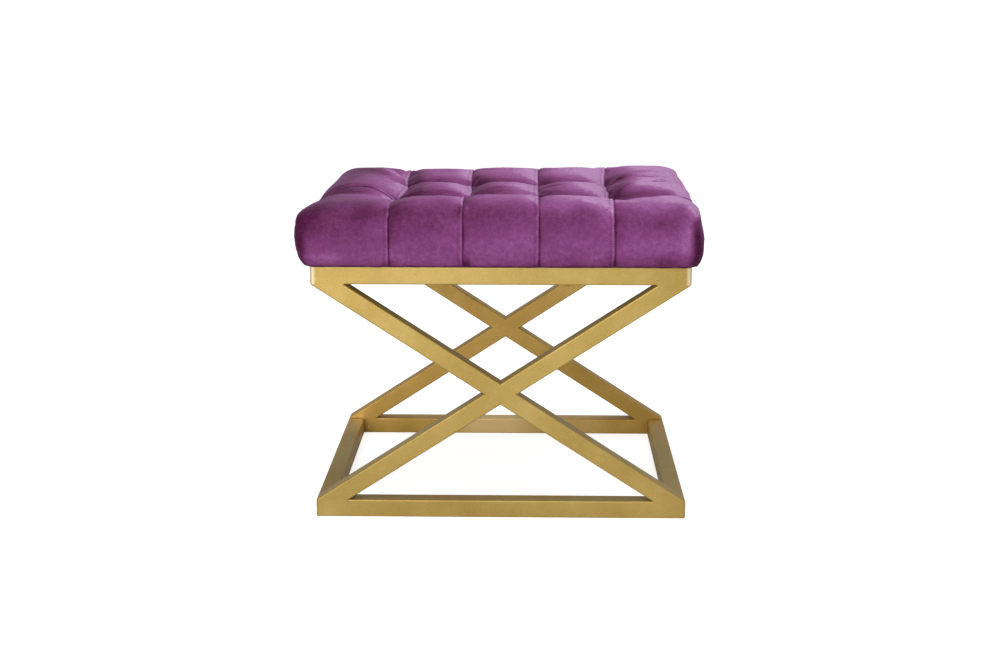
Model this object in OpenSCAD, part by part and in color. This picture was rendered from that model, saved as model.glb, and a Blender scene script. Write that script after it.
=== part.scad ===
// Pouf: a biscuit-tufted velvet seat on two flat X frames of gold square tube.
// Millimetres. X is the width, Y the depth (the front is at -Y) and Z is up.
// The origin is on the floor, under the middle of the frame.

/* [Frame] */
// Overall width of the frame, from end cap to end cap
frame_w = 516; // [440:1:600]
// Overall depth of the frame, from front face to rear face
frame_d = 427; // [360:1:500]
// Height of the frame, from the floor to the top of the upper rails
frame_h = 357; // [300:1:400]
// Side of the square tube
tube = 25; // [20:1:32]
// Wall of the square tube
tube_wall = 1.5; // [1:0.1:1.8]
// Radius on the long edges of the tube
tube_edge_r = 2; // [1.9:0.1:3]
// Thickness of the cap welded on each end of a rail
cap_t = 4; // [2:0.5:6]
// How far the thin tip of a diagonal is ground back from the rail's end
tip_trim = 1.5; // [0.5:0.5:4]

/* [Side rail joints] */
// Open groove between the end of a side rail and the frame
rail_groove = 3.5; // [1:0.5:6]
// Length of a spigot inside the side rail
spigot_reach = 25; // [16:1:40]
// Wall of a spigot
spigot_wall = 2.5; // [2:0.1:4]
// Play between a spigot and the side rail's bore, on each side
spigot_play = 0.3; // [0.1:0.05:0.5]
// Thread diameter of the screw that holds a side rail on its spigot
rail_screw_d = 5; // [4:0.5:6]
// Head diameter of that screw
rail_screw_head_d = 9; // [7:0.5:11]

/* [Seat] */
// Height of the cushion's crown over the rails
seat_h = 87; // [75:1:110]
// How far the cushion's sides swell past the frame
seat_bulge = 18.5; // [8:0.5:26]
// Number of biscuits across the width
cells_x = 5; // [3:1:6]
// Number of biscuits from front to back
cells_y = 3; // [2:1:4]
// Depth of a sewn seam below the crown
seam_depth = 6; // [4:0.5:10]
// Depth of the pulled-down points, where two seams cross
tuft_depth = 22; // [20:0.5:30]
// How far a seam draws the sides in
side_seam_depth = 2.5; // [1:0.5:4]
// Fall of the crowns from the middle of the seat to its edge
crown_fall = 2; // [0:0.5:8]
// Radius of the cushion's upright corners where it swells most
corner_r = 24; // [16:1:32]
// Radius of the same corners at the bottom edge
hem_corner_r = 6; // [4:0.5:10]
// Thickness of the velvet cover
cover_t = 1.5; // [1:0.1:2.5]
// Distance between the velvet's hem and the holes of the seat bolts
hem_to_bolt = 1.2; // [0.5:0.1:3]

/* [Seat board and layers] */
// Thickness of the plywood seat board
board_t = 15; // [12:1:18]
// How much rounder the board's corners are than the velvet's bottom corners
board_corner_more = 4; // [3:0.5:10]
// Thinnest wadding, under a pulled-down point
wadding_least_t = 4; // [3:0.5:8]
// How far the foam block stays inside the frame's outline
foam_inset = 6; // [4:0.5:12]
// Thickness of the black dust cover under the seat
dust_t = 0.8; // [0.5:0.1:1.2]
// How far the dust cover stays inside the rails
dust_inset = 3; // [2:0.5:5]
// How far the calico pull strips reach in past the rails
strip_past_rail = 20; // [18:1:30]
// How far inside the rails the velvet's pull strips are stapled
cover_row_in = 8; // [5:0.5:9]
// How far inside the rails the dust cover is stapled
dust_row_in = 14; // [12:0.5:15]

/* [Seat fixings] */
// Thread diameter of the seat bolts
bolt_d = 6; // [5:1:6]
// How far a seat bolt ends below the top of the board
bolt_short = 3.1; // [2:0.1:5]
// Distance between neighbouring seat bolts along a top side rail
bolt_pitch = 110; // [60:1:130]
// Play of a bolt in its holes, on the diameter
bolt_play = 0.6; // [0.2:0.1:1]
// Thickness of the washer under a bolt's head
washer_t = 1.6; // [1:0.1:2]
// Diameter of a seat bolt's washer
washer_d = 12; // [11:0.5:16]
// Wood left between a tee nut's flange and the edge of the board
tee_edge = 1.2; // [0.5:0.1:2]
// Thickness of a tee nut's flange
tee_flange_t = 1.5; // [1:0.1:2]
// Length of a tee nut's barrel under its flange
tee_barrel_l = 9; // [8:0.5:10]
// Thickness of the wire of a staple
staple_wire = 0.6; // [0.4:0.1:0.8]
// Width across the crown of a staple
staple_crown = 10; // [8:0.5:12]
// Length of a staple's legs
staple_leg = 10; // [6:0.5:10.5]
// Wanted distance between staples
staple_pitch = 60; // [40:1:90]
// Diameter of the waxed twine that pulls a tuft down
twine_d = 1.6; // [1:0.1:2.2]
// Diameter of the washer that the twine is tied to under the board
tuft_washer_d = 16; // [12:1:20]

/* [Hidden] */
ends = [-1, 1];
end_names = ["left", "right"];
frame_names = ["front", "rear"];
level_names = ["bottom", "top"];
rail_names = [for (f = frame_names, l = level_names) str(f, "_", l, "_rail")];
diagonal_names = [for (f = frame_names, p = ["long", "upper_half", "lower_half"]) str(f, "_", p, "_diagonal")];
cap_names = [for (f = frame_names, l = level_names, e = end_names) str(f, "_", l, "_", e, "_end_cap")];
side_rail_names = [for (e = end_names, l = level_names) str(e, "_", l, "_side_rail")];
spigot_names = [for (f = frame_names, l = level_names, e = end_names) str(f, "_", l, "_", e, "_spigot")];
strip_names = [for (s = ["front", "rear", "left", "right"]) str(s, "_pull_strip")];

velvet = [0.56, 0.27, 0.55];
fibre_white = [0.93, 0.93, 0.91];
foam_cream = [0.95, 0.88, 0.66];
plywood = [0.76, 0.60, 0.42];
calico = [0.86, 0.81, 0.70];
felt_black = [0.11, 0.11, 0.12];
gold_paint = [0.79, 0.65, 0.37];
zinc = [0.72, 0.73, 0.75];
twine_white = [0.90, 0.88, 0.82];

$fn = 48;
over = 1; // overrun of every cut past the face that it starts on
play = 0.3; // air between soft layers, and round what passes through them
thread_play = 0.05; // air between a screw's thread and its nut, on the radius
bore = tube - 2 * tube_wall;
bore_edge_r = tube_edge_r - tube_wall;
half_w = frame_w / 2;
half_d = frame_d / 2;
rail_x = half_w - tube / 2; // middle of a side rail
rail_y = half_d - tube / 2; // middle plane of a flat frame
rail_levels = [tube / 2, frame_h - tube / 2];

// Each diagonal runs from under one end of the top rail to over the other end of the bottom rail.
inner_h = frame_h - 2 * tube;
diagonal_angle = atan(inner_h / frame_w) + asin(tube / norm([frame_w, inner_h]));
diagonal_l = norm([frame_w, frame_h]) + 2 * tube;
foot_l = tube / sin(diagonal_angle); // length of a diagonal's cut end along its rail
foot_x = half_w - foot_l / 2;
cross_l = tube / sin(2 * diagonal_angle); // length of a half diagonal's end along the long one
cross_shift = tube / 2 / tan(2 * diagonal_angle);

cap_round_share = 0.85; // share of a cap's thickness that its upright edges are rounded by
cap_round = cap_round_share * cap_t;

spigot_side = bore - 2 * spigot_play;
spigot_edge_r = bore_edge_r + 2 * spigot_play;
spigot_l = rail_groove + spigot_reach;
side_rail_l = frame_d - 2 * tube - 2 * rail_groove;
rail_screw_y = side_rail_l / 2 - spigot_reach / 2;
rail_screw_l = 8;
rail_screw_head_t = 1.2;
rail_screw_key = 2.5; // across the flats of its hexagon key

// Levels of the seat's layers
strip_t = cover_t - staple_wire;
strip_w = tube + strip_past_rail; // from the frame's outline to a strip's inner edge
hem_w = tube / 2 - (bolt_d + bolt_play) / 2 - hem_to_bolt;
board_corner_r = hem_corner_r + board_corner_more;
board_z = frame_h + cover_t;
board_top = board_z + board_t;
foam_top = frame_h + seat_h - tuft_depth - crown_fall - cover_t - play - wadding_least_t;
dust_z = frame_h - play / 2 - dust_t;
cover_row = tube + cover_row_in;
dust_row = tube + dust_row_in;

bolt_head_d = 10.5;
bolt_head_t = 3.3;
bolt_key = 4; // across the flats of its hexagon key
bolt_hole_r = (bolt_d + bolt_play) / 2;
bolt_l = washer_t + tube + cover_t + board_t - bolt_short;
tee_flange_d = tube - 2 * (cover_t + play + tee_edge);
tee_barrel_wall = 1.2;
tee_barrel_r = bolt_d / 2 + tee_barrel_wall;
twine_hole_r = twine_d / 2 + play;
knot_more = 1; // how much wider than the twine its knot is, on the radius
knot_h = 0.4;
bolt_spots = [for (sx = ends, k = [-1:1]) [sx * rail_x, k * bolt_pitch]];

// The cushion's form: a grid of biscuits on top and rings of points down the sides.
// Each ring is [share of the seat's height, share of the bulge].
side_shares = [[0.88, 0.22], [0.74, 0.72], [0.45, 1], [0.2, 0.9], [0.05, 0.58], [0, 0]];
lining_shares = [for (k = [0:len(side_shares) - 1]) if (k != 3) side_shares[k]]; // the inner face has a ring less
step_shares = [0, 0.18, 0.5, 0.82]; // lines of points across a biscuit
steps = len(step_shares);
least_band_share = 0.05; // least height of a band of the wadding's side, as a share of the seat's
puff_power = 2.2; // roundness of a biscuit from its seam to its crown
shoulder_fall_share = 0.6; // share of the seam's depth left where a seam crosses the shoulder
pitch_x = frame_w / cells_x;
pitch_y = frame_d / cells_y;
lines_x = concat([for (c = [0:cells_x - 1], s = step_shares) (c + s) * pitch_x - half_w], [half_w]);
lines_y = concat([for (c = [0:cells_y - 1], s = step_shares) (c + s) * pitch_y - half_d], [half_d]);
nx = len(lines_x) - 1;
ny = len(lines_y) - 1;
rim = 2 * (nx + ny); // points round the edge of the grid
tuft_spots = [for (i = [1:cells_x - 1], j = [1:cells_y - 1]) [i * pitch_x - half_w, j * pitch_y - half_d]];

// Rise of a biscuit at share t of the way from its seam to its crown
function puff(t) = 1 - pow(1 - min(t, 1), puff_power);

// Distance from v to the nearest inner seam, as a share of half a biscuit
function seam_share(v, half, pitch, cells) =
    min([for (k = [1:cells - 1]) abs(v - k * pitch + half)]) / (pitch / 2);

// Height of the cushion's upper surface
function top_z(x, y) = let(
    dip_x = 1 - puff(seam_share(x, half_w, pitch_x, cells_x)),
    dip_y = 1 - puff(seam_share(y, half_d, pitch_y, cells_y)),
    fall = crown_fall * (pow(x / half_w, 2) + pow(y / half_d, 2)) / 2
) frame_h + seat_h - fall - seam_depth * (dip_x + dip_y)
    - (tuft_depth - 2 * seam_depth) * dip_x * dip_y;

// Grid place [i, j] of point m on the way round the rim, counter-clockwise seen from above
function rim_place(m) =
    m < nx ? [m, 0]
    : m < nx + ny ? [nx, m - nx]
    : m < 2 * nx + ny ? [2 * nx + ny - m, ny]
    : [0, rim - m];

// Place along one edge: the corner, the end of its arc, or the grid's own line
function edge_place(i, n, lines, half, r) =
    i == 0 ? -half : i == 1 ? r - half : i == n - 1 ? half - r : i == n ? half : lines[i];

// Plan position of rim point m, out past the frame's outline, with corners of radius r
function ring_xy(m, out, r) = let(
    ij = rim_place(m),
    x = edge_place(ij[0], nx, lines_x, half_w + out, r),
    y = edge_place(ij[1], ny, lines_y, half_d + out, r),
    at_corner = (ij[0] == 0 || ij[0] == nx) && (ij[1] == 0 || ij[1] == ny),
    cut = at_corner ? r * (1 - cos(45)) : 0
) [x - sign(x) * cut, y - sign(y) * cut];

// One where rim point m is the end of a seam, else zero
function is_seam(m) = let(ij = rim_place(m), on_x = ij[1] == 0 || ij[1] == ny)
    (on_x ? ij[0] % steps == 0 && ij[0] > 0 && ij[0] < nx
          : ij[1] % steps == 0 && ij[1] > 0 && ij[1] < ny) ? 1 : 0;

// Points of one ring, at share h of the seat's height, inset from the form that shares describes
function ring(h, inset = 0, shares = side_shares, lift = 0) = let(
    z = frame_h + h * seat_h + lift,
    out_share = lookup(h, shares),
    r = hem_corner_r + out_share * (corner_r - hem_corner_r),
    at_shoulder = h == side_shares[0][0],
    drop = at_shoulder ? shoulder_fall_share * seam_depth : 0
) [for (m = [0:rim - 1]) let(
    pull = is_seam(m) * side_seam_depth * (out_share > 0 ? 1 : 0),
    xy = ring_xy(m, out_share * seat_bulge - pull - inset, r)
) [xy[0], xy[1], z - drop * is_seam(m) - (at_shoulder ? inset : 0)]];

// Points of the top between its rims, row by row
function top_points(inset) = [for (j = [1:ny - 1], i = [1:nx - 1])
    [lines_x[i], lines_y[j], top_z(lines_x[i], lines_y[j]) - inset]];

// Index of grid place [i, j] where the rim's points come first and the top's points last
function grid_index(i, j, rim_at, top_at) =
    j == 0 ? rim_at + i
    : i == nx ? rim_at + nx + j
    : j == ny ? rim_at + 2 * nx + ny - i
    : i == 0 ? rim_at + (rim - j) % rim
    : top_at + (j - 1) * (nx - 1) + i - 1;

// Triangles of the top. Each square is split along the diagonal that points at its biscuit's middle
function top_faces(rim_at, top_at) = [for (j = [0:ny - 1], i = [0:nx - 1]) let(
    a = grid_index(i, j, rim_at, top_at),
    b = grid_index(i + 1, j, rim_at, top_at),
    c = grid_index(i + 1, j + 1, rim_at, top_at),
    d = grid_index(i, j + 1, rim_at, top_at),
    rising = (i % steps < steps / 2) == (j % steps < steps / 2)
) each rising ? [[a, c, b], [a, d, c]] : [[a, d, b], [b, d, c]]];

// Triangles between two rings, the upper one first
function band_faces(upper, lower) = [for (m = [0:rim - 1]) let(n = (m + 1) % rim)
    each [[upper + m, upper + n, lower + n], [upper + m, lower + n, lower + m]]];

function turned(faces) = [for (f = faces) [f[0], f[2], f[1]]];

// Velvet shell: the outer form, its inner face one thickness in, and the hem under the board
module seat_cover() {
    outer = concat([for (s = side_shares) each ring(s[0])], ring(0, hem_w));
    inner = concat(
        [for (s = lining_shares) each ring(s[0], cover_t, lining_shares, s[0] > 0 ? 0 : cover_t)],
        ring(0, hem_w, lift = cover_t)
    );
    inner_at = len(outer);
    outer_top = inner_at + len(inner);
    inner_top = outer_top + len(top_points(0));
    outer_hem = inner_at - rim;
    inner_hem = outer_top - rim;
    color(velvet) polyhedron(
        points = concat(outer, inner, top_points(0), top_points(cover_t)),
        faces = concat(
            top_faces(0, outer_top),
            [for (at = [0:rim:outer_hem - rim]) each band_faces(at, at + rim)],
            turned(top_faces(inner_at, inner_top)),
            [for (at = [inner_at:rim:inner_hem - rim]) each turned(band_faces(at, at + rim))],
            band_faces(outer_hem, inner_hem)
        )
    );
}

// Fibre wadding: fills the biscuits and the bulge round the plain foam block
module wadding_layer() {
    inset = cover_t + play;
    foot_share = (board_top + play - frame_h) / seat_h;
    shares = concat([for (s = lining_shares) if (s[0] > foot_share + least_band_share) s[0]], [foot_share]);
    rings = len(shares);
    core = play - foam_inset;
    outer = [for (h = shares) each ring(h, inset, lining_shares)];
    core_foot = [for (m = [0:rim - 1]) concat(ring_xy(m, core, hem_corner_r), board_top + play)];
    core_head = [for (m = [0:rim - 1]) concat(ring_xy(m, core, hem_corner_r), foam_top + play)];
    foot_at = len(outer);
    head_at = foot_at + rim;
    middle = head_at + rim;
    color(fibre_white) difference() {
        polyhedron(
            points = concat(outer, core_foot, core_head, [[0, 0, foam_top + play]], top_points(inset)),
            faces = concat(
                top_faces(0, middle + 1),
                [for (k = [0:rings - 2]) each band_faces(k * rim, (k + 1) * rim)],
                band_faces((rings - 1) * rim, foot_at),
                turned(band_faces(head_at, foot_at)),
                [for (m = [0:rim - 1]) [middle, head_at + m, head_at + (m + 1) % rim]]
            )
        );
        at_tufts(foam_top) cylinder(r = twine_hole_r, h = tuft_depth + over);
    }
}

// Rectangle in plan with round corners
module round_plate(w, d, r, t) {
    linear_extrude(t) {
        square([w - 2 * r, d], center = true);
        square([w, d - 2 * r], center = true);
        for (sx = ends, sy = ends)
            translate([sx * (w / 2 - r), sy * (d / 2 - r)]) circle(r);
    }
}

module at_tufts(z) {
    for (p = tuft_spots) translate([p[0], p[1], z]) children();
}

module at_bolts(z) {
    for (p = bolt_spots) translate([p[0], p[1], z]) children();
}

module foam_block() {
    color(foam_cream) difference() {
        translate([0, 0, board_top])
            round_plate(frame_w - 2 * foam_inset, frame_d - 2 * foam_inset, board_corner_r, foam_top - board_top);
        at_tufts(board_top - over) cylinder(r = twine_hole_r, h = seat_h);
    }
}

// Plywood board with counterbored tee nut holes, twine holes and the pricks of the staples
module seat_board() {
    inset = cover_t + play;
    color(plywood) difference() {
        translate([0, 0, board_z])
            round_plate(frame_w - 2 * inset, frame_d - 2 * inset, board_corner_r, board_t);
        at_tufts(board_z - over) cylinder(r = twine_hole_r, h = board_t + 2 * over);
        at_bolts(board_z - over) cylinder(r = tee_barrel_r, h = board_t + 2 * over);
        at_bolts(board_top - tee_flange_t) cylinder(d = tee_flange_d, h = tee_flange_t + over);
        staple_rows(cover_row, cover_staple_z) staple_pricks();
        staple_rows(dust_row, dust_staple_z) staple_pricks();
    }
}

// Waxed twine from each pulled-down point through foam and board to a knot under its washer
module tufting_twines() {
    low = board_z - strip_t;
    color(twine_white) for (p = tuft_spots) {
        translate([p[0], p[1], low])
            cylinder(d = twine_d, h = top_z(p[0], p[1]) - cover_t - play - low);
        translate([p[0], p[1], low - knot_h]) cylinder(r = twine_d / 2 + knot_more, h = knot_h);
    }
}

module tuft_washers() {
    color(zinc) at_tufts(board_z - strip_t) difference() {
        cylinder(d = tuft_washer_d, h = strip_t);
        translate([0, 0, -over]) cylinder(r = twine_hole_r, h = strip_t + 2 * over);
    }
}

// Staples: the crown lies under the sheet that it holds and the legs go up into the board.
cover_staple_z = board_z - strip_t - staple_wire;
dust_staple_z = dust_z - staple_wire;

module staple() {
    translate([-staple_crown / 2, -staple_wire / 2, 0]) cube([staple_crown, staple_wire, staple_wire]);
    for (s = ends)
        translate([s * (staple_crown - staple_wire) / 2 - staple_wire / 2, -staple_wire / 2, 0])
            cube([staple_wire, staple_wire, staple_leg]);
}

// The slots that a staple's two legs make
module staple_pricks() {
    side = staple_wire + 2 * thread_play;
    for (s = ends)
        translate([s * (staple_crown - staple_wire) / 2 - side / 2, -side / 2, 0])
            cube([side, side, staple_leg + thread_play]);
}

// Repeats its child along a row of staples all round, the given distance inside the outline
module staple_rows(inset, z) {
    run_x = frame_w - 2 * strip_w;
    run_y = frame_d - 2 * strip_w;
    count_x = ceil(run_x / staple_pitch);
    count_y = ceil(run_y / staple_pitch);
    for (s = ends, k = [0:count_x - 1])
        translate([(k + 0.5) * run_x / count_x - run_x / 2, s * (half_d - inset), z]) children();
    for (s = ends, k = [0:count_y - 1])
        translate([s * (half_w - inset), (k + 0.5) * run_y / count_y - run_y / 2, z])
            rotate(90) children();
}

module cover_staples() {
    color(zinc) staple_rows(cover_row, cover_staple_z) staple();
}

module dust_cover_staples() {
    color(zinc) staple_rows(dust_row, dust_staple_z) staple();
}

// Calico strips sewn to the velvet's hem: front and rear run full width, the other two fit between
module pull_strip(index) {
    start = hem_w + play;
    full = frame_w - 2 * (start + hem_corner_r);
    between = frame_d - 2 * (strip_w + play);
    width = strip_w - start;
    s = ends[index % 2];
    size = index < 2 ? [full, width, strip_t] : [width, between, strip_t];
    place = index < 2 ? [0, s * (half_d - start - width / 2)] : [s * (half_w - start - width / 2), 0];
    color(calico) difference() {
        translate([place[0] - size[0] / 2, place[1] - size[1] / 2, board_z - strip_t]) cube(size);
        at_bolts(frame_h) cylinder(r = bolt_hole_r, h = board_t);
        staple_rows(cover_row, cover_staple_z) staple_pricks();
        staple_rows(dust_row, dust_staple_z) staple_pricks();
    }
}

module dust_cover() {
    inset = tube + dust_inset;
    color(felt_black) difference() {
        translate([0, 0, dust_z])
            round_plate(frame_w - 2 * inset, frame_d - 2 * inset, tube_edge_r, dust_t);
        staple_rows(dust_row, dust_staple_z) staple_pricks();
    }
}

// Button-headed bolts up through the top side rails into the tee nuts
module seat_bolts() {
    head_z = frame_h - tube - washer_t - bolt_head_t;
    color(zinc) at_bolts(head_z) difference() {
        union() {
            cylinder(d = bolt_head_d, h = bolt_head_t);
            cylinder(d = bolt_d, h = bolt_head_t + bolt_l);
        }
        translate([0, 0, -over]) cylinder(d = bolt_key / cos(30), h = bolt_head_t / 2 + over, $fn = 6);
    }
}

module seat_bolt_washers() {
    color(zinc) at_bolts(frame_h - tube - washer_t) difference() {
        cylinder(d = washer_d, h = washer_t);
        translate([0, 0, -over]) cylinder(r = bolt_hole_r, h = washer_t + 2 * over);
    }
}

module seat_tee_nuts() {
    color(zinc) at_bolts(board_top - tee_flange_t - tee_barrel_l) difference() {
        union() {
            cylinder(r = tee_barrel_r - thread_play, h = tee_barrel_l + tee_flange_t / 2);
            translate([0, 0, tee_barrel_l]) cylinder(d = tee_flange_d - 2 * thread_play, h = tee_flange_t);
        }
        translate([0, 0, -over])
            cylinder(r = bolt_d / 2 + thread_play, h = tee_barrel_l + tee_flange_t + 2 * over);
    }
}

// Section of a square tube's outside or bore
module round_square(side, r) {
    square([side - 2 * r, side], center = true);
    square([side, side - 2 * r], center = true);
    for (sx = ends, sy = ends)
        translate([sx * (side / 2 - r), sy * (side / 2 - r)]) circle(r);
}

// Straight run of square tube along X, centred
module tube_run(length, side, edge_r, wall, inner_edge_r) {
    rotate([90, 0, 90]) linear_extrude(length, center = true) difference() {
        round_square(side, edge_r);
        round_square(side - 2 * wall, inner_edge_r);
    }
}

module frame_tube(length) {
    tube_run(length, tube, tube_edge_r, tube_wall, bore_edge_r);
}

module rail(frame, level) {
    color(gold_paint) translate([0, ends[frame] * rail_y, rail_levels[level]])
        frame_tube(frame_w - 2 * cap_t);
}

// Plan of an end cap, its outer corners rounded. The rail's end is at x = 0
module cap_outline(r) {
    translate([0, -tube / 2]) square([cap_t - r, tube]);
    translate([0, r - tube / 2]) square([cap_t, tube - 2 * r]);
    for (s = ends) translate([cap_t - r, s * (tube / 2 - r)]) circle(r);
}

module end_cap(frame, level, end) {
    color(gold_paint)
        translate([ends[end] * (half_w - cap_t), ends[frame] * rail_y, rail_levels[level]])
            mirror([end == 0 ? 1 : 0, 0, 0]) intersection() {
                rotate([90, 0, 90]) linear_extrude(cap_t) round_square(tube, tube_edge_r);
                linear_extrude(tube, center = true) cap_outline(cap_round);
                rotate([90, 0, 0]) linear_extrude(tube, center = true) cap_outline(cap_round / 2);
            }
}

// Tube along one diagonal of the frame's face, through the frame's middle
module diagonal_run(lean) {
    rotate([0, lean * diagonal_angle, 0]) frame_tube(diagonal_l);
}

// Everything between the rails that a diagonal may fill
module between_rails() {
    cube([frame_w - 2 * tip_trim, tube + over, inner_h], center = true);
}

module long_diagonal(frame) {
    color(gold_paint) translate([0, ends[frame] * rail_y, frame_h / 2]) intersection() {
        diagonal_run(1);
        between_rails();
    }
}

// Half of the other diagonal, cut where it meets the long one. side is 1 above it and -1 below
module half_diagonal(frame, side) {
    color(gold_paint) translate([0, ends[frame] * rail_y, frame_h / 2]) intersection() {
        diagonal_run(-1);
        between_rails();
        rotate([0, diagonal_angle, 0]) translate([0, 0, side * (tube + diagonal_l) / 2])
            cube([2 * diagonal_l, tube + over, diagonal_l], center = true);
    }
}

// Weld metal ground flush: fills the groove over a tube's round edge.
// It runs along X, under z = 0 and behind y = 0.
module flush_seam(length) {
    difference() {
        translate([-length / 2, 0, -tube_edge_r]) cube([length, tube_edge_r, tube_edge_r]);
        translate([-length / 2 - over, tube_edge_r, -tube_edge_r])
            rotate([0, 90, 0]) cylinder(r = tube_edge_r, h = length + 2 * over);
    }
}

// The seams of one flat frame, on its front and rear faces
module frame_welds(frame) {
    foot_weld_l = foot_l - 2 * tip_trim;
    color(gold_paint) translate([0, ends[frame] * rail_y, frame_h / 2])
        for (face = [0, 1]) mirror([0, face, 0]) {
            for (up = [0, 1], side = [0, 1]) mirror([0, 0, up]) mirror([side, 0, 0])
                translate([foot_x - tip_trim, -tube / 2, -inner_h / 2]) flush_seam(foot_weld_l);
            rotate([0, diagonal_angle, 0]) for (half = [0, 1]) rotate([0, 180 * half, 0])
                translate([cross_shift, -tube / 2, tube / 2]) flush_seam(cross_l - 2 * tube_edge_r);
        }
}

// Tube with screw holes in its underside. A top one also has the seat bolts' holes, through both walls
module side_rail(end, level) {
    color(gold_paint) difference() {
        translate([ends[end] * rail_x, 0, rail_levels[level]]) rotate(90) frame_tube(side_rail_l);
        for (s = ends)
            translate([ends[end] * rail_x, s * rail_screw_y, rail_levels[level] - tube / 2 - over])
                cylinder(d = rail_screw_head_d + bolt_play, h = tube_wall + 2 * over);
        if (level == 1) at_bolts(frame_h - tube - over) cylinder(r = bolt_hole_r, h = tube + 2 * over);
    }
}

// Stub of smaller tube welded to the frame, over which the side rail slides
module spigot(frame, level, end) {
    stub_y = half_d - tube - spigot_l / 2;
    color(gold_paint) difference() {
        translate([ends[end] * rail_x, ends[frame] * stub_y, rail_levels[level]]) rotate(90)
            tube_run(spigot_l, spigot_side, spigot_edge_r, spigot_wall, bore_edge_r);
        translate([ends[end] * rail_x, ends[frame] * rail_screw_y, rail_levels[level] - tube / 2])
            cylinder(r = rail_screw_d / 2 + thread_play, h = tube / 2);
    }
}

// Flat-headed screws sunk in the side rails' undersides and turned into the spigots
module rail_screws() {
    head_drop = tube / 2 - tube_wall - spigot_play + rail_screw_head_t;
    color(zinc) for (level = rail_levels, sx = ends, sy = ends)
        translate([sx * rail_x, sy * rail_screw_y, level - head_drop])
            difference() {
                union() {
                    cylinder(d = rail_screw_head_d, h = rail_screw_head_t);
                    cylinder(d = rail_screw_d, h = rail_screw_head_t + rail_screw_l);
                }
                translate([0, 0, -over])
                    cylinder(d = rail_screw_key / cos(30), h = over + 2 * rail_screw_head_t, $fn = 6);
            }
}

seat_cover();
wadding_layer();
foam_block();
seat_board();
tufting_twines();
tuft_washers();
for (k = [0:3]) pull_strip(k);
cover_staples();
dust_cover();
dust_cover_staples();
seat_bolts();
seat_bolt_washers();
seat_tee_nuts();
for (f = [0, 1], l = [0, 1]) rail(f, l);
for (f = [0, 1], l = [0, 1], e = [0, 1])
    end_cap(f, l, e);
for (f = [0, 1]) long_diagonal(f);
for (f = [0, 1]) half_diagonal(f, 1);
for (f = [0, 1]) half_diagonal(f, -1);
frame_welds(0);  // front_frame_welds
frame_welds(1);  // rear_frame_welds
for (e = [0, 1], l = [0, 1]) side_rail(e, l);
for (f = [0, 1], l = [0, 1], e = [0, 1])
    spigot(f, l, e);
rail_screws();
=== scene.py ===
# %% [markdown]
# # A tufted velvet pouf on two crossed frames
# The steel frame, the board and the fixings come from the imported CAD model, which is loaded first and is
# never moved or changed. They only get paint and metal. Everything soft is made here: the velvet cover, its
# seams, the filling and the cloth under the seat. All lengths are in metres, Z is up and the front is at
# -Y.

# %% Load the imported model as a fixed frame
import math

import bpy
import numpy as np
from mathutils import Matrix, Vector


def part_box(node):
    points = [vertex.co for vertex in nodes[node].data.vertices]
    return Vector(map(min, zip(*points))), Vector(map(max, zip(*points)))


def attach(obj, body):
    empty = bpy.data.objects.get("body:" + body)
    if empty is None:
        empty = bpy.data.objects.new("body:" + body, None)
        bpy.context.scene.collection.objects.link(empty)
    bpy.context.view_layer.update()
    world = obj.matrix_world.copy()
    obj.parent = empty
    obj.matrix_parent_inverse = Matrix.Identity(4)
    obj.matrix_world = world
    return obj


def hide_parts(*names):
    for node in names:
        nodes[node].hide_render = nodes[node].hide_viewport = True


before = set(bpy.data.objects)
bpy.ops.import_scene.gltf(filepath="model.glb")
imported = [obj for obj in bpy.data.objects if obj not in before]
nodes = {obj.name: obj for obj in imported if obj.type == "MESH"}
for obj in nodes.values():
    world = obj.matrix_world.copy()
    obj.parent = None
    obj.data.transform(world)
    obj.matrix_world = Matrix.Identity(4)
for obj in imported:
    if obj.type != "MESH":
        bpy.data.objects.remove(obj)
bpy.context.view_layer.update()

# %% [markdown]
# ## Sizes that the cushion has to fit
# The cushion sits on the upper rails, so its place comes from their boxes and from the box of the CAD
# cover. The biscuits divide the frame's outline into five by three.

# %% Read the sizes from the CAD boxes
RAIL_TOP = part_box("front_top_rail")[1].z
HALF_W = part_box("front_top_right_end_cap")[1].x
HALF_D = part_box("rear_top_rail")[1].y
TUBE = RAIL_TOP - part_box("front_top_rail")[0].z
SEAT_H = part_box("seat_cover")[1].z - RAIL_TOP
BOARD_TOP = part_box("seat_board")[1].z
FOAM_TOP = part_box("foam_block")[1].z
CELLS_X, CELLS_Y = 5, 3
PITCH_X, PITCH_Y = 2 * HALF_W / CELLS_X, 2 * HALF_D / CELLS_Y
print(f"seat {2 * HALF_W:.3f} x {2 * HALF_D:.3f} x {SEAT_H:.3f} m, biscuits {PITCH_X:.4f} x {PITCH_Y:.4f} m")

# %% [markdown]
# ## Camera
# The camera's place and lens were solved from the straight edges of the two frames, so the picture shows
# the pouf at the photograph's angle. It looks a little down and a touch to the left of straight ahead.

# %% Place the camera
CAMERA_AT = (0.0432, -2.2854, 0.7587)
PITCH_DOWN, YAW, ROLL = (math.radians(a) for a in (13.403, -1.208, -0.034))
FOCAL_SHARE = 1.56588  # focal length as a share of the picture's width


def linked(name, data):
    """A new object of a mesh, lamp or camera, linked to the scene."""
    thing = bpy.data.objects.new(name, data)
    bpy.context.scene.collection.objects.link(thing)
    return thing


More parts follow.
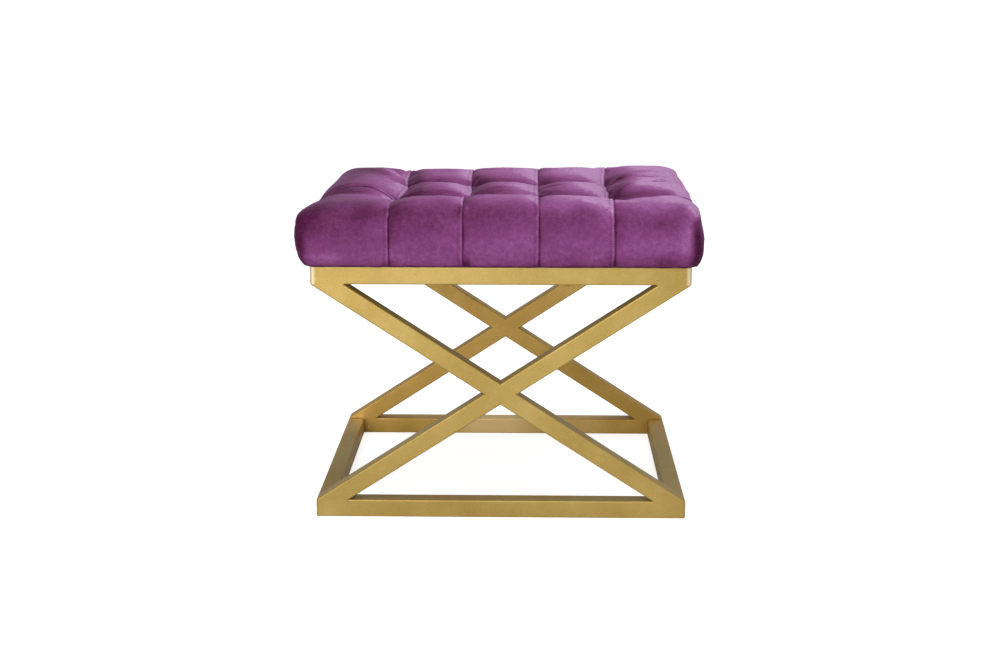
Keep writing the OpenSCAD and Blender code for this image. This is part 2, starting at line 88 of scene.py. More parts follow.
def camera_matrix(place, down, yaw, roll):
    """Columns: right, up and back. Ahead is (sin yaw cos down, cos yaw cos down, -sin down)."""
    ahead = np.array([math.sin(yaw) * math.cos(down), math.cos(yaw) * math.cos(down), -math.sin(down)])
    right = np.array([math.cos(yaw), -math.sin(yaw), 0.0])
    up = np.cross(right, ahead)
    turned_right = right * math.cos(roll) + up * math.sin(roll)
    turned_up = up * math.cos(roll) - right * math.sin(roll)
    matrix = np.eye(4)
    matrix[:3, 0], matrix[:3, 1], matrix[:3, 2], matrix[:3, 3] = turned_right, turned_up, -ahead, place
    return Matrix(matrix.tolist())


camera = linked("camera", bpy.data.cameras.new("camera"))
camera.data.sensor_width = 36.0
camera.data.lens = camera.data.sensor_width * FOCAL_SHARE
camera.matrix_world = camera_matrix(CAMERA_AT, PITCH_DOWN, YAW, ROLL)
bpy.context.scene.camera = camera
print(f"camera at {CAMERA_AT}, lens {camera.data.lens:.2f} mm")

# %% [markdown]
# ## Helpers for meshes
# A surface is worked out as whole arrays of points and faces. One helper turns them into an object that
# rides on the pouf's single body, with smooth shading and a material.


# %% Make a piece from arrays
def new_piece(name, points, faces, material):
    """A smooth mesh object at the origin, from an (n, 3) array of points and an (m, 4) array of faces."""
    mesh = bpy.data.meshes.new(name)
    corners = faces.shape[1]
    mesh.vertices.add(len(points))
    mesh.vertices.foreach_set("co", np.ascontiguousarray(points, np.float32).ravel())
    mesh.loops.add(faces.size)
    mesh.loops.foreach_set("vertex_index", np.ascontiguousarray(faces, np.int32).ravel())
    mesh.polygons.add(len(faces))
    mesh.polygons.foreach_set("loop_start", np.arange(0, faces.size, corners, dtype=np.int32))
    mesh.update(calc_edges=True)
    mesh.validate()
    mesh.polygons.foreach_set("use_smooth", np.ones(len(mesh.polygons), bool))
    mesh.materials.append(material)
    piece = linked(name, mesh)
    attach(piece, "root")
    print(f"{name}: {len(points)} points, {len(faces)} faces")
    return piece


def read_points(piece):
    """The mesh's points as an (n, 3) array."""
    flat = np.zeros(len(piece.data.vertices) * 3, np.float32)
    piece.data.vertices.foreach_get("co", flat)
    return flat.reshape(-1, 3).astype(float)


def apply_modifiers(piece):
    """Replaces the piece's mesh by what its modifiers make of it now."""
    evaluated = piece.evaluated_get(bpy.context.evaluated_depsgraph_get())
    done = bpy.data.meshes.new_from_object(evaluated, preserve_all_data_layers=True,
                                           depsgraph=bpy.context.evaluated_depsgraph_get())
    piece.modifiers.clear()
    piece.data = done


def grid_quads(nx, ny):
    """The point numbers of a grid of nx by ny squares, row by row, and each square's four corners."""
    grid = np.arange((nx + 1) * (ny + 1)).reshape(ny + 1, nx + 1)
    quads = np.stack([grid[:-1, :-1], grid[:-1, 1:], grid[1:, 1:], grid[1:, :-1]], -1)
    return grid, quads.reshape(-1, 4)


def loop_walls(loops):
    """Quads between each closed loop of point numbers and the loop below it."""
    upper, lower = loops[:-1], loops[1:]
    return np.stack([upper, lower, np.roll(lower, -1, 1), np.roll(upper, -1, 1)], -1).reshape(-1, 4)


def closing_fan(loop, tip, facing_down=True):
    """Quads from a loop, two of its sides at a time, to one point in its middle."""
    start, halfway = loop.reshape(-1, 2).T
    stop, tips = np.roll(start, -1), np.full(len(start), tip)
    return np.stack([start, tips, stop, halfway] if facing_down else [start, halfway, stop, tips], -1)


def thicken(sheet, thickness, offset):
    """Gives a sheet its thickness: inwards at offset -1, and half to each side at 0."""
    thick = sheet.modifiers.new("thickness", "SOLIDIFY")
    thick.thickness, thick.offset = thickness, offset


# %% [markdown]
# ## Helpers for materials
# Every finish is a small tree of nodes on Object coordinates, so that it stays put on the piece from any
# side. Numbers that hold for the whole surface sit on the shader's own sockets.


# %% Build material trees
def new_material(name, **sockets):
    """A Principled material. Each keyword names a socket, with underscores for spaces."""
    material = bpy.data.materials.new(name)
    material.use_nodes = True
    shader = material.node_tree.nodes["Principled BSDF"]
    for key, value in sockets.items():
        shader.inputs[key.replace("_", " ")].default_value = value
    return material


def add(material, kind, links=(), **settings):
    """A new node. links gives its inputs other nodes' outputs or values, and settings are its properties."""
    node = material.node_tree.nodes.new(kind)
    for key, value in settings.items():
        setattr(node, key, value)
    for target, source in dict(links).items():
        if hasattr(source, "is_output"):
            material.node_tree.links.new(source, node.inputs[target])
        else:
            node.inputs[target].default_value = source
    return node


def object_place(material, stretch=(1, 1, 1), turn=(0, 0, 0)):
    """Object coordinates, stretched and turned."""
    where = add(material, "ShaderNodeTexCoord")
    mapping = add(material, "ShaderNodeMapping",
                  {"Vector": where.outputs["Object"], "Scale": stretch, "Rotation": turn})
    return mapping.outputs["Vector"]


def noise(material, place, scale, detail=2.0, rough=0.5):
    """Soft random values from 0 to 1, with about scale lumps to a metre."""
    node = add(material, "ShaderNodeTexNoise",
               {"Vector": place, "Scale": scale, "Detail": detail, "Roughness": rough})
    return node.outputs["Fac"]


def ramp(material, value, stops):
    """Colours between stops, each [place, colour]. A grey is one number."""
    node = add(material, "ShaderNodeValToRGB", {"Fac": value})
    band = node.color_ramp
    while len(band.elements) < len(stops):
        band.elements.new(0.5)
    for element, (place, colour) in zip(band.elements, stops):
        element.position = place
        element.color = (*colour, 1) if hasattr(colour, "__len__") else (colour, colour, colour, 1)
    return node.outputs["Color"]


def math_node(material, way, *values):
    """Product, sum and the like of two or three values."""
    return add(material, "ShaderNodeMath", dict(enumerate(values)), operation=way).outputs[0]


def map_range(material, value, low, high, to_low=0.0, to_high=1.0):
    """The value's way from low to high, laid between to_low and to_high."""
    span = {"Value": value, "From Min": low, "From Max": high, "To Min": to_low, "To Max": to_high}
    return add(material, "ShaderNodeMapRange", span).outputs["Result"]


def blend_colours(material, a, b, factor, way="MIX"):
    """Colour a and colour b mixed by a factor."""
    node = add(material, "ShaderNodeMix", data_type="RGBA", blend_type=way)
    for socket, source in ((node.inputs[0], factor), (node.inputs[6], a), (node.inputs[7], b)):
        if hasattr(source, "is_output"):
            material.node_tree.links.new(source, socket)
        else:
            socket.default_value = (*source, 1) if hasattr(source, "__len__") else source
    return node.outputs[2]


def bump(material, height, distance, strength=1.0, below=None):
    """Normals of a relief. distance is its height in metres."""
    node = add(material, "ShaderNodeBump", {"Height": height, "Distance": distance, "Strength": strength})
    if below is not None:
        material.node_tree.links.new(below, node.inputs["Normal"])
    return node.outputs["Normal"]


def finish_with(material, **sources):
    """Links outputs to the shader's sockets."""
    shader = material.node_tree.nodes["Principled BSDF"]
    for key, source in sources.items():
        material.node_tree.links.new(source, shader.inputs[key.replace("_", " ")])
    return material


# %% [markdown]
# ## Gold paint
# The tubes are steel with a satin gold paint. Up close the paint has a fine metallic grain, small bright
# flecks and cloudy patches where the coat is thicker. It could be a plain metal, but then it would mirror
# the dark room. So it is half a metal to the light, and rough, with a thin clear coat.
#
# It isn't the same all over either, and each of these differences is painted light. It is painted lighter
# towards the top and painted brighter and warmer towards the rear frame. The upper rails have a painted
# highlight at their rounded ends, and the lower rail at the rear has a painted reflection. These hang on
# Object coordinates, so they stay put from any side.


# %% Mix the gold paint
# Metal flecks, a painted highlight, a painted reflection and painted warm light for the rear frame
PALE_FLECK, PAINTED_HIGHLIGHT = (0.88, 0.72, 0.40), (0.86, 0.75, 0.50)
PAINTED_REFLECTION, PAINTED_REAR_LIGHT = (0.95, 0.72, 0.34), (1.17, 1.05, 0.86)
HIGHLIGHT_L = 0.010  # the catch lies within this of a rail's end
PAINTED_SHADE_LOW, PAINTED_LIGHT_HIGH = 0.94, 1.02  # brightness at the floor and at the top of the frame
REFLECTION_LEFT, REFLECTION_RIGHT = -0.12, 0.18  # from where to where the pale zone runs


def kept_within(paint, value, limits):
    """The value where every place is greater or less than its limit, as its row says, and zero elsewhere."""
    for way, place, limit in limits:
        value = math_node(paint, "MULTIPLY", value, math_node(paint, way, place, limit))
    return value


def gold_with_painted_light(paint, place, tone):
    """The tone with painted light: a highlight at the upper rails' ends, lighter by height, warmer by depth,
    and a reflection.
    """
    at = add(paint, "ShaderNodeSeparateXYZ", {0: place}).outputs
    reach_x, reach_y = (math_node(paint, "ABSOLUTE", at[axis]) for axis in "XY")
    # Painted highlight where the rounded ends of the upper rails catch the light
    highlight = ramp(paint, map_range(paint, reach_x, HALF_W - HIGHLIGHT_L, HALF_W),
                 [(0.2, 0.0), (0.55, 0.6), (0.90, 0.6), (0.97, 0.0)])
    highlight = kept_within(paint, highlight, [("GREATER_THAN", at["Z"], RAIL_TOP - TUBE),
                                       ("GREATER_THAN", reach_y, HALF_D - TUBE)])
    tone = blend_colours(paint, tone, PAINTED_HIGHLIGHT, highlight)
    # Painted light and shade: lighter towards the top, darker towards the floor
    level = map_range(paint, at["Z"], 0.0, RAIL_TOP, PAINTED_SHADE_LOW, PAINTED_LIGHT_HIGH)
    tone = blend_colours(paint, tone, level, 1.0, "MULTIPLY")
    # Painted light: the rear frame brighter and warmer, standing in for light that reaches it and bounces off
    # the gold
    rear_light = blend_colours(paint, tone, PAINTED_REAR_LIGHT, 1.0, "MULTIPLY")
    tone = blend_colours(paint, tone, rear_light, map_range(paint, at["Y"], 0.0, HALF_D - TUBE))
    # Painted reflection: a pale patch on the front of the rear lower rail
    reflection = ramp(paint, map_range(paint, at["X"], REFLECTION_LEFT, REFLECTION_RIGHT),
                [(0.05, 0.0), (0.22, 0.6), (0.42, 0.6), (0.60, 0.15), (0.85, 0.2), (1.0, 0.0)])
    reflection = kept_within(paint, reflection, [("LESS_THAN", at["Z"], TUBE * 1.01),
                                     ("GREATER_THAN", at["Y"], HALF_D - TUBE * 1.1)])
    return blend_colours(paint, tone, PAINTED_REFLECTION, reflection)


def gold_paint():
    """Cloudy gold between three tones, times a fine grain, with flecks at the centres of a cell noise."""
    paint = new_material("gold_paint", Metallic=0.5, Coat_Weight=0.3, Coat_Roughness=0.4)
    place = object_place(paint)
    clouds = ramp(paint, noise(paint, place, 11, 4, 0.6),
                  [(0.30, (0.41, 0.265, 0.050)), (0.5, (0.46, 0.308, 0.066)), (0.72, (0.53, 0.37, 0.105))])
    grain = ramp(paint, noise(paint, place, 800, 2, 0.7), [(0.3, 0.84), (0.7, 1.12)])
    tone = blend_colours(paint, clouds, grain, 1.0, "MULTIPLY")
    cells = add(paint, "ShaderNodeTexVoronoi", {"Vector": place, "Scale": 260})
    flecks = ramp(paint, cells.outputs["Distance"], [(0.0, 0.8), (0.12, 0.0)])
    tone = gold_with_painted_light(paint, place, blend_colours(paint, tone, PALE_FLECK, flecks))
    rough = ramp(paint, noise(paint, place, 30, 4, 0.6), [(0.3, 0.36), (0.7, 0.50)])
    relief = bump(paint, noise(paint, place, 420, 2), 0.00012)
    return finish_with(paint, Base_Color=tone, Roughness=rough, Normal=relief)


GOLD = gold_paint()

# %% [markdown]
# ## Zinc, plywood and thread
# Bolts, washers, tee nuts, screws and staples are zinc plated, with faint blotches. The board is plywood:
# long grain on its faces and dark and light plies on its edges. The twines are waxed thread.


# %% Mix the finishes of the hidden parts
def zinc():
    """Grey plating with blotches and a fine grain."""
    metal = new_material("zinc", Metallic=1.0)
    place = object_place(metal)
    tone = ramp(metal, noise(metal, place, 160, 3), [(0.35, (0.46, 0.47, 0.49)), (0.65, (0.62, 0.62, 0.61))])
    rough = ramp(metal, noise(metal, place, 500, 2), [(0.3, 0.28), (0.7, 0.5)])
    return finish_with(metal, Base_Color=tone, Roughness=rough,
                       Normal=bump(metal, noise(metal, place, 1200, 1), 0.00004))


def plywood(plies=11, thickness=0.015):
    """Streaks along X for the grain, and bands in Z for the plies."""
    wood = new_material("plywood")
    grain_place = object_place(wood, (2.5, 40, 1))
    grain = ramp(wood, noise(wood, grain_place, 3, 6, 0.6),
                 [(0.3, (0.42, 0.26, 0.13)), (0.7, (0.62, 0.43, 0.24))])
    bands = add(wood, "ShaderNodeTexWave", {"Vector": object_place(wood), "Scale": plies / thickness / 20,
                                            "Distortion": 0.4}, bands_direction="Z")
    layers = ramp(wood, bands.outputs["Fac"], [(0.35, 0.6), (0.6, 1.05)])
    tone = blend_colours(wood, grain, layers, 1.0, "MULTIPLY")
    return finish_with(wood, Base_Color=tone, Normal=bump(wood, noise(wood, grain_place, 8, 4), 0.0002))


def twine():
    """Waxed thread: slanting plies on the round."""
    thread = new_material("twine", Roughness=0.55)
    along = object_place(thread, turn=(0.6, 0, 0.6))
    twist = add(thread, "ShaderNodeTexWave", {"Vector": along, "Scale": 260}, bands_direction="Z")
    tone = ramp(thread, twist.outputs["Fac"], [(0.2, (0.55, 0.50, 0.40)), (0.8, (0.80, 0.76, 0.66))])
    return finish_with(thread, Base_Color=tone, Normal=bump(thread, twist.outputs["Fac"], 0.0002))


ZINC, PLYWOOD, TWINE = zinc(), plywood(), twine()

# %% [markdown]
# ## Dress the CAD nodes
# Each node keeps its shape and gets the finish of its kind. The kind is in its name.

# %% Give every CAD node its finish
FINISH_OF = {"rail": GOLD, "end_cap": GOLD, "diagonal": GOLD, "welds": GOLD, "spigot": GOLD,
             "rail_screws": ZINC, "staples": ZINC, "bolts": ZINC, "washers": ZINC, "tee_nuts": ZINC,
             "seat_board": PLYWOOD, "twines": TWINE}
for name, node in nodes.items():
    kinds = [kind for kind in FINISH_OF if name.endswith(kind)]
    if kinds:
        node.data.materials.clear()
        node.data.materials.append(FINISH_OF[max(kinds, key=len)])
print("plain still:", [n for n in nodes if not any(n.endswith(kind) for kind in FINISH_OF)])

# %% [markdown]
# ## The cushion's form
# The velvet could be one bent sheet, but a box cushion has a top and a side that follow different rules. So
# the top is a grid over the frame's outline, with its corners rounded, and the side is a set of rings that
# start at the grid's edge, swell, and turn in under the board. The same form is worked out twice: on an
# even net for the stuffing, and on a net that is finer at the seams for the piece itself.
#
# The biscuits of a real cushion differ. Each has its own crown, and the seams lie deeper in the middle row.
# Three seams lean to the right for part of their way, and at the left end one bows back over the filling.
# The front row is fuller near its edge. Folds run from the pulled points out over the two ends, where the
# cloth has to turn a corner, and one hollow runs forward into the front row.

# %% Set the crowns, the seams and the profile of the sides
CROWNS = np.array([[0.0796, 0.0838, 0.0856, 0.0842, 0.0828],
                   [0.0862, 0.0822, 0.0824, 0.0828, 0.0850],
                   [0.0822, 0.0802, 0.0822, 0.0825, 0.0862]])  # over the rails, front row first
ACROSS_SEAMS = np.array([[0.0024, 0.0005, 0.0004, 0.0016],
                         [0.0040, 0.0001, 0.0001, 0.0042],
                         [0.0110, 0.0098, 0.0086, 0.0120],
                         [0.0060, 0.0030, 0.0022, 0.0066],
                         [0.0038, 0.0014, 0.0010, 0.0050]])  # depth of the seams that run front to back
ALONG_SEAMS = np.array([[0.0050, 0.0110, 0.0110, 0.0110, 0.0080],
                        [0.0000, 0.0110, 0.0110, 0.0110, 0.0015]])  # depth of the two seams along the width
TUFT_LEVEL = 0.4225  # the pulled points, over the floor
SEAM_X = np.array([-0.1500, -0.0505, 0.0513, 0.1525])
SEAM_Y = np.arange(1, CELLS_Y) * PITCH_Y - HALF_D
MIDDLE_X = (np.arange(CELLS_X) + 0.5) * PITCH_X - HALF_W
MIDDLE_Y = (np.arange(CELLS_Y) + 0.5) * PITCH_Y - HALF_D
OUTER_Y = 0.196  # the first and the last row of ACROSS_SEAMS hold at this distance from the middle
ACROSS_Y = np.concatenate([[-OUTER_Y], MIDDLE_Y, [OUTER_Y]])
# Powers by which a dip fades: across the width, before and behind the front seam, and at pulled points
FADE_X, FADE_FRONT, FADE_REAR, PULL_X, PULL_Y = 2.5, 1.6, 2.4, 1.3, 1.5
# The bowed seam at the left end: its middle, half its width, how far it bows, and how far in y that reaches
BOW_MIDDLE, BOW_HALF, BOW, BOW_REACH = -0.207, 0.058, 0.036, 0.115
# Seams that lean right: their x, where in y most, over what length, and by how much
SWAYS = np.array([[-0.1500, 0.010, 0.070, 0.0085], [-0.0505, -0.015, 0.060, 0.0050],
                  [0.1525, 0.190, 0.055, 0.0050]])
SWAY_REACH = 0.045
FRONT_ROLL = (0.0030, -0.178, 0.030)  # the front row is fuller near its edge: height, place and width in y
# By row, front to rear: how much lower the left and the right edge lie
LEFT_FALL, RIGHT_FALL = np.array([[0.0045, 0.0105, 0.0080], [0.0030, 0.0032, 0.0034]])
FRONT_FALL, FALL_REACH, FALL_POWER, FALL_CORNER = 0.0050, 0.040, 2.4, 0.3
EDGE_CORNER_R, BELLY_CORNER_R, HEM_CORNER_R = 0.015, 0.026, 0.007

# %% Set the profile of the sides
# Rows: height over the rails, then how far the cover stands out there, in millimetres: the left end's front
# row and other rows, the right end's front corner and the rest of it, and the front
SIDES = np.array([[80.0, 10.0, 2.0, 6.0, 11.0, 3.4], [77.4, 15.0, 3.4, 8.4, 13.4, 6.4],
                  [73.0, 17.8, 5.2, 9.9, 14.4, 9.8], [69.4, 18.6, 7.0, 10.8, 14.8, 12.0],
                  [65.0, 19.0, 9.4, 11.5, 14.6, 13.9], [61.0, 19.2, 11.8, 12.0, 14.2, 15.2],
                  [57.0, 19.4, 14.2, 12.6, 14.0, 16.2], [53.0, 19.7, 16.4, 13.3, 14.0, 16.9],
                  [49.0, 20.1, 18.2, 14.1, 14.4, 17.4], [44.5, 20.4, 19.4, 14.9, 14.9, 17.8],
                  [40.5, 20.3, 20.0, 15.6, 15.6, 18.0], [36.5, 19.9, 19.9, 16.0, 16.0, 18.1],
                  [32.5, 19.6, 19.6, 16.2, 16.2, 18.0], [28.5, 19.2, 19.2, 16.3, 16.3, 17.7],
                  [24.5, 18.5, 18.5, 16.1, 16.1, 17.2], [20.5, 17.6, 17.6, 15.8, 15.8, 16.5],
                  [16.0, 16.5, 16.5, 15.0, 15.0, 15.5], [11.6, 15.2, 15.2, 13.8, 13.8, 14.0],
                  [7.5, 13.2, 13.2, 12.2, 12.2, 12.2], [3.6, 10.6, 10.6, 9.9, 9.9, 9.8],
                  [1.2, 8.0, 8.0, 7.8, 7.8, 7.6], [0.0, 5.0, 5.0, 5.0, 5.0, 5.0],
                  [0.0, 0.0, 0.0, 0.0, 0.0, 0.0], [0.0, -4.5, -4.5, -4.5, -4.5, -4.5],
                  [0.0, -9.0, -9.0, -9.0, -9.0, -9.0]]) / 1000
# Where each end passes from its front column to the other one, from front to back
LEFT_CHANGE, RIGHT_CHANGE = (-0.125, -0.070), (-0.200, -0.145)
SIDE_TOP, BELLY_TOP, FULL_SWELL = 0.0819, 0.06, 0.0163
RINGS, HEM_RINGS = len(SIDES), 4
STRETCH_ZONE = 0.075  # only this much of the net beside an edge follows the swelling
DENT_FRONT, DENT_END, DENT_FRONT_POWER, DENT_END_POWER = 0.0009, 0.0020, 5, 7  # at the seams' feet
PLEAT_X, PLEAT_LEAN, PLEAT_DEPTH, PLEAT_W, PLEAT_TAPER = -0.0420, 0.15, 0.0075, 0.0052, 0.09
PUCKER_DEPTH = 0.0007
CREASE_DEPTH, CREASE_IN, CREASE_W = 0.0022, 0.021, 0.0050  # upright, in the ends beside the front corners
TOUCHING = 1e-9  # a point this near an edge is on it

# %% Lay out the folds on top
FOLD_PEAK, FOLD_START, FOLD_SPREAD = 1.9, 0.45, 0.9
# Start x and y, end x and y, height (a hollow is negative) and width, in millimetres
TOP_FOLDS = np.array([[-148, 74, -206, 190, 7.0, 15], [-146, 84, -172, 200, -7.5, 13],
                      [-147, 84, -157, 168, 2.2, 4.5], [-147, 84, -169, 176, 1.8, 4.5],
                      [150, -84, 226, -96, -5.5, 24], [152, -68, 206, 34, 6.5, 12],
                      [152, -52, 184, 46, -6.0, 11], [154, 68, 206, 104, 4.5, 11],
                      [154, 78, 182, 160, -4.0, 10], [-50, 73, -80, 110, -1.5, 8],
                      [-50, 73, -22, 104, 1.4, 7], [52, 76, 30, 118, 1.4, 7],
                      [52, 74, 86, 104, -1.6, 8], [52, -72, 88, -98, 1.2, 8],
                      [158, -78, 182, -212, -6.5, 26]]) / 1000

# %% Measure along and across seams


def from_seam(v, seams):
    """Signed distance to the nearest seam."""
    way = v[..., None] - seams
    nearest = np.abs(way).argmin(-1)
    return np.take_along_axis(way, nearest[..., None], -1)[..., 0]


def dip(way, pitch, power):
    """One on a seam, easing to zero in the biscuit's middle: (1 - share of half a biscuit) ** power."""
    return np.clip(1 - np.abs(way) / (pitch / 2), 0, 1) ** power


def eased(t):
    """Zero to one with level ends: 3 t squared less 2 t cubed."""
    t = np.clip(t, 0, 1)
    return t * t * (3 - 2 * t)


def bell(v, width):
    """One at zero, falling off on both sides: e to the power of minus the square of v / width."""
    return np.exp(-(v / width) ** 2)


def hump(v):
    """One at zero and zero beyond -1 and 1, with a parabola between: 1 - v squared."""
    return np.clip(1 - v ** 2, 0, 1)


def on_edge(v, half):
    """True where a line of the net lies on an edge."""
    return np.abs(v) >= half - TOUCHING


def between(place, knots):
    """The knot below each place and the eased share of the way to the next."""
    at = np.interp(place, knots, np.arange(len(knots)))
    low = np.minimum(at.astype(int), len(knots) - 2)
    return low, eased(at - low)


def table_at(x, y, knots_x, knots_y, table):
    """A table of rows and columns read at (x, y), eased both ways."""
    i, t = between(x, knots_x)
    j, u = between(y, knots_y)
    front, rear = (table[k, i] * (1 - t) + table[k, i + 1] * t for k in (j, j + 1))
    return front * (1 - u) + rear * u


def bow_hump(x):
    """One where the seam bows the most, and zero beyond its ends."""
    return hump((x - BOW_MIDDLE) / BOW_HALF)


def seam_bow(x, y):
    """How far lines bow back at (x, y): a squared hump in x, full near the front seam, gone farther off."""
    return BOW * bow_hump(x) ** 2 * eased(1.1 - np.abs(y - SEAM_Y[0]) / BOW_REACH)


def seam_sway(x, y):
    """How far a seam and the cloth beside it shift to the right at (x, y): a hump in x times a bell in y."""
    return sum(amount * hump((x - at_x) / SWAY_REACH) ** 1.5 * bell(y - at_y, length)
               for at_x, at_y, length, amount in SWAYS)


def fold_heights(x, y):
    """Each fold is a bell across its line. With t the share of its way, its height is FOLD_PEAK * sqrt(t) *
    (1 - t), highest at a third, and its width grows with t."""
    total = np.zeros_like(x)
    for x0, y0, x1, y1, height, width in TOP_FOLDS:
        length = math.hypot(x1 - x0, y1 - y0)
        ux, uy = (x1 - x0) / length, (y1 - y0) / length
        t = np.clip(((x - x0) * ux + (y - y0) * uy) / length, 0, 1)
        off = (x - x0) * uy - (y - y0) * ux
        profile = height * FOLD_PEAK * t ** 0.5 * (1 - t)
        total += profile * bell(off, width * (FOLD_START + FOLD_SPREAD * t))
    return total


# %% Work out the top
def edge_fall(half, v):
    """How much of the fall to an edge holds at a distance v from the middle: none beyond its reach."""
    return np.clip(1 - (half - np.abs(v)) / FALL_REACH, 0, 1) ** FALL_POWER


def top_height(x, y):
    """Crown less the seams' dips, the pulled points and the fall to the edge, plus the roll and the folds."""
    crown = table_at(x, y, MIDDLE_X, MIDDLE_Y, CROWNS)
    across = table_at(x, y, SEAM_X, ACROSS_Y, ACROSS_SEAMS)
    along = table_at(x, y, MIDDLE_X, SEAM_Y, ALONG_SEAMS)
    dip_x = dip(from_seam(x, SEAM_X), PITCH_X, FADE_X)
    dip_y = dip(from_seam(y, SEAM_Y), PITCH_Y, np.where(y < SEAM_Y[0], FADE_FRONT, FADE_REAR))
    roll = FRONT_ROLL[0] * bell(y - FRONT_ROLL[1], FRONT_ROLL[2])
    too_high = np.maximum(RAIL_TOP + crown - TUFT_LEVEL - across - along, 0)
    pull = too_high * dip_x ** PULL_X * dip_y ** PULL_Y
    end = np.where(x < 0, np.interp(y, MIDDLE_Y, LEFT_FALL), np.interp(y, MIDDLE_Y, RIGHT_FALL))
    end = end * edge_fall(HALF_W, x)
    front = FRONT_FALL * edge_fall(HALF_D, y)
    fall = np.maximum(end, front) + FALL_CORNER * np.minimum(end, front)
    return RAIL_TOP + crown + roll - across * dip_x - along * dip_y - pull - fall + fold_heights(x, y)


# %% Work out the sides and join them to the top
def rim_walk(nx, ny):
    """Column and row of each point round the grid's edge, counter-clockwise from the front left corner."""
    i = np.concatenate([np.arange(nx), np.full(ny, nx), np.arange(nx, 0, -1), np.zeros(ny, int)])
    j = np.concatenate([np.zeros(nx, int), np.arange(ny), np.full(nx, ny), np.arange(ny, 0, -1)])
    return i, j


def round_corners(x, y, half_w, half_d, r):
    """Moves the points of a rectangle's corner squares into quarter discs.

    In a corner square with shares a and b, a becomes a * sqrt(1 - b * b / 2), and b the other way round."""
    a = np.clip((np.abs(x) - (half_w - r)) / r, 0, 1)
    b = np.clip((np.abs(y) - (half_d - r)) / r, 0, 1)
    rx = np.where(a > 0, half_w - r + r * a * np.sqrt(1 - b * b / 2), np.abs(x))
    ry = np.where(b > 0, half_d - r + r * b * np.sqrt(1 - a * a / 2), np.abs(y))
    return np.sign(x) * rx, np.sign(y) * ry


def stretched(v, half, out):
    """Moves only the outer zone of a line outwards, so that the seams stay upright."""
    return np.sign(v) * (np.abs(v) + out * eased((np.abs(v) - (half - STRETCH_ZONE)) / STRETCH_ZONE))


def side_dents(flat_x, flat_y, height):
    """Dents in the side, as a depth: a pleat beside a seam's foot, puckers as a sum of two sines low down,
    and an upright crease at each front corner. The pleat and the crease are bells across their line."""
    low = eased((0.030 - height) / 0.022) * eased(height / 0.004)
    off_pleat = flat_x - PLEAT_X + PLEAT_LEAN * height
    pleat = PLEAT_DEPTH * low * bell(off_pleat, PLEAT_W - PLEAT_TAPER * height)
    pleat = pleat * (on_edge(flat_y, HALF_D) & (flat_y < 0))
    along = np.where(on_edge(flat_y, HALF_D), flat_x, flat_y)
    waves = np.sin(along * 150 + 2 * np.sin(along * 31)) + 0.6 * np.sin(along * 263 + 1.3)
    upright = eased((height - 0.006) / 0.02) * eased((0.074 - height) / 0.02)
    crease = CREASE_DEPTH * upright * bell(flat_y + HALF_D - CREASE_IN, CREASE_W) * on_edge(flat_x, HALF_W)
    return pleat + PUCKER_DEPTH * low * waves + crease


def side_rings(flat_x, flat_y, edge_z):
    """The rings of the side from the top down: each is the rim, stretched by SIDES and less its dents."""
    on_front = on_edge(flat_y, HALF_D)
    seam = np.where(on_front, dip(from_seam(flat_x, SEAM_X), PITCH_X, DENT_FRONT_POWER),
                    dip(from_seam(flat_y, SEAM_Y), PITCH_Y, DENT_END_POWER))
    left_share, right_share = (eased((flat_y - start) / (stop - start))
                               for start, stop in (LEFT_CHANGE, RIGHT_CHANGE))
    rings = []
    for height, left_front, left_rest, right_front, right_rest, front in SIDES:
        left = left_front + (left_rest - left_front) * left_share
        right = right_front + (right_rest - right_front) * right_share
        swell = np.clip(right_front / FULL_SWELL, 0, 1)
        dent = np.where(on_front, DENT_FRONT, DENT_END) * seam * swell + side_dents(flat_x, flat_y, height)
        out_x, out_y = np.where(flat_x < 0, left, right) - dent, front - dent
        r = HEM_CORNER_R + (BELLY_CORNER_R - HEM_CORNER_R) * swell
        if height >= BELLY_TOP:
            r = np.interp(height, [BELLY_TOP, SIDE_TOP], [BELLY_CORNER_R, EDGE_CORNER_R])
        px, py = round_corners(stretched(flat_x, HALF_W, out_x), stretched(flat_y, HALF_D, out_y),
                               HALF_W + out_x, HALF_D + out_y, r)
        rings.append(np.stack([px, py, RAIL_TOP + height / SIDE_TOP * (edge_z - RAIL_TOP)], -1))
    return rings


def cushion_form(lines_x, lines_y):
    """The grid's points row by row, then the rings' from the top down, with the faces of both, the flat place
    (x, y) that each point comes from, and the loops of points from the grid's edge to the hem."""
    nx, ny = len(lines_x) - 1, len(lines_y) - 1
    gx, gy = np.meshgrid(lines_x, lines_y)
    bowed = gy + seam_bow(gx, gy)
    x, y = round_corners(gx + seam_sway(gx, gy), bowed, HALF_W, HALF_D, EDGE_CORNER_R)
    gz = top_height(gx, bowed)
    i, j = rim_walk(nx, ny)
    flat_x, flat_y = gx[j, i], gy[j, i]
    grid, quads = grid_quads(nx, ny)
    rim_numbers = grid.size + np.arange(RINGS * len(i)).reshape(RINGS, -1)
    loops = np.concatenate([grid[j, i][None], rim_numbers])
    top = np.stack([x, y, gz], -1).reshape(-1, 3)
    points = np.concatenate([top, *side_rings(flat_x, flat_y, gz[j, i])])
    flat = np.concatenate([np.stack([gx, gy], -1).reshape(-1, 2)] + [np.stack([flat_x, flat_y], -1)] * RINGS)
    return points, np.concatenate([quads, loop_walls(loops)]), flat, loops


even_x = np.linspace(-HALF_W, HALF_W, 24 * CELLS_X + 1)
even_y = np.linspace(-HALF_D, HALF_D, 33 * CELLS_Y + 1)
net_points, net_faces, net_flat, net_loops = cushion_form(even_x, even_y)
print("even net", len(net_points), "points, box", net_points.min(0).round(4), net_points.max(0).round(4))

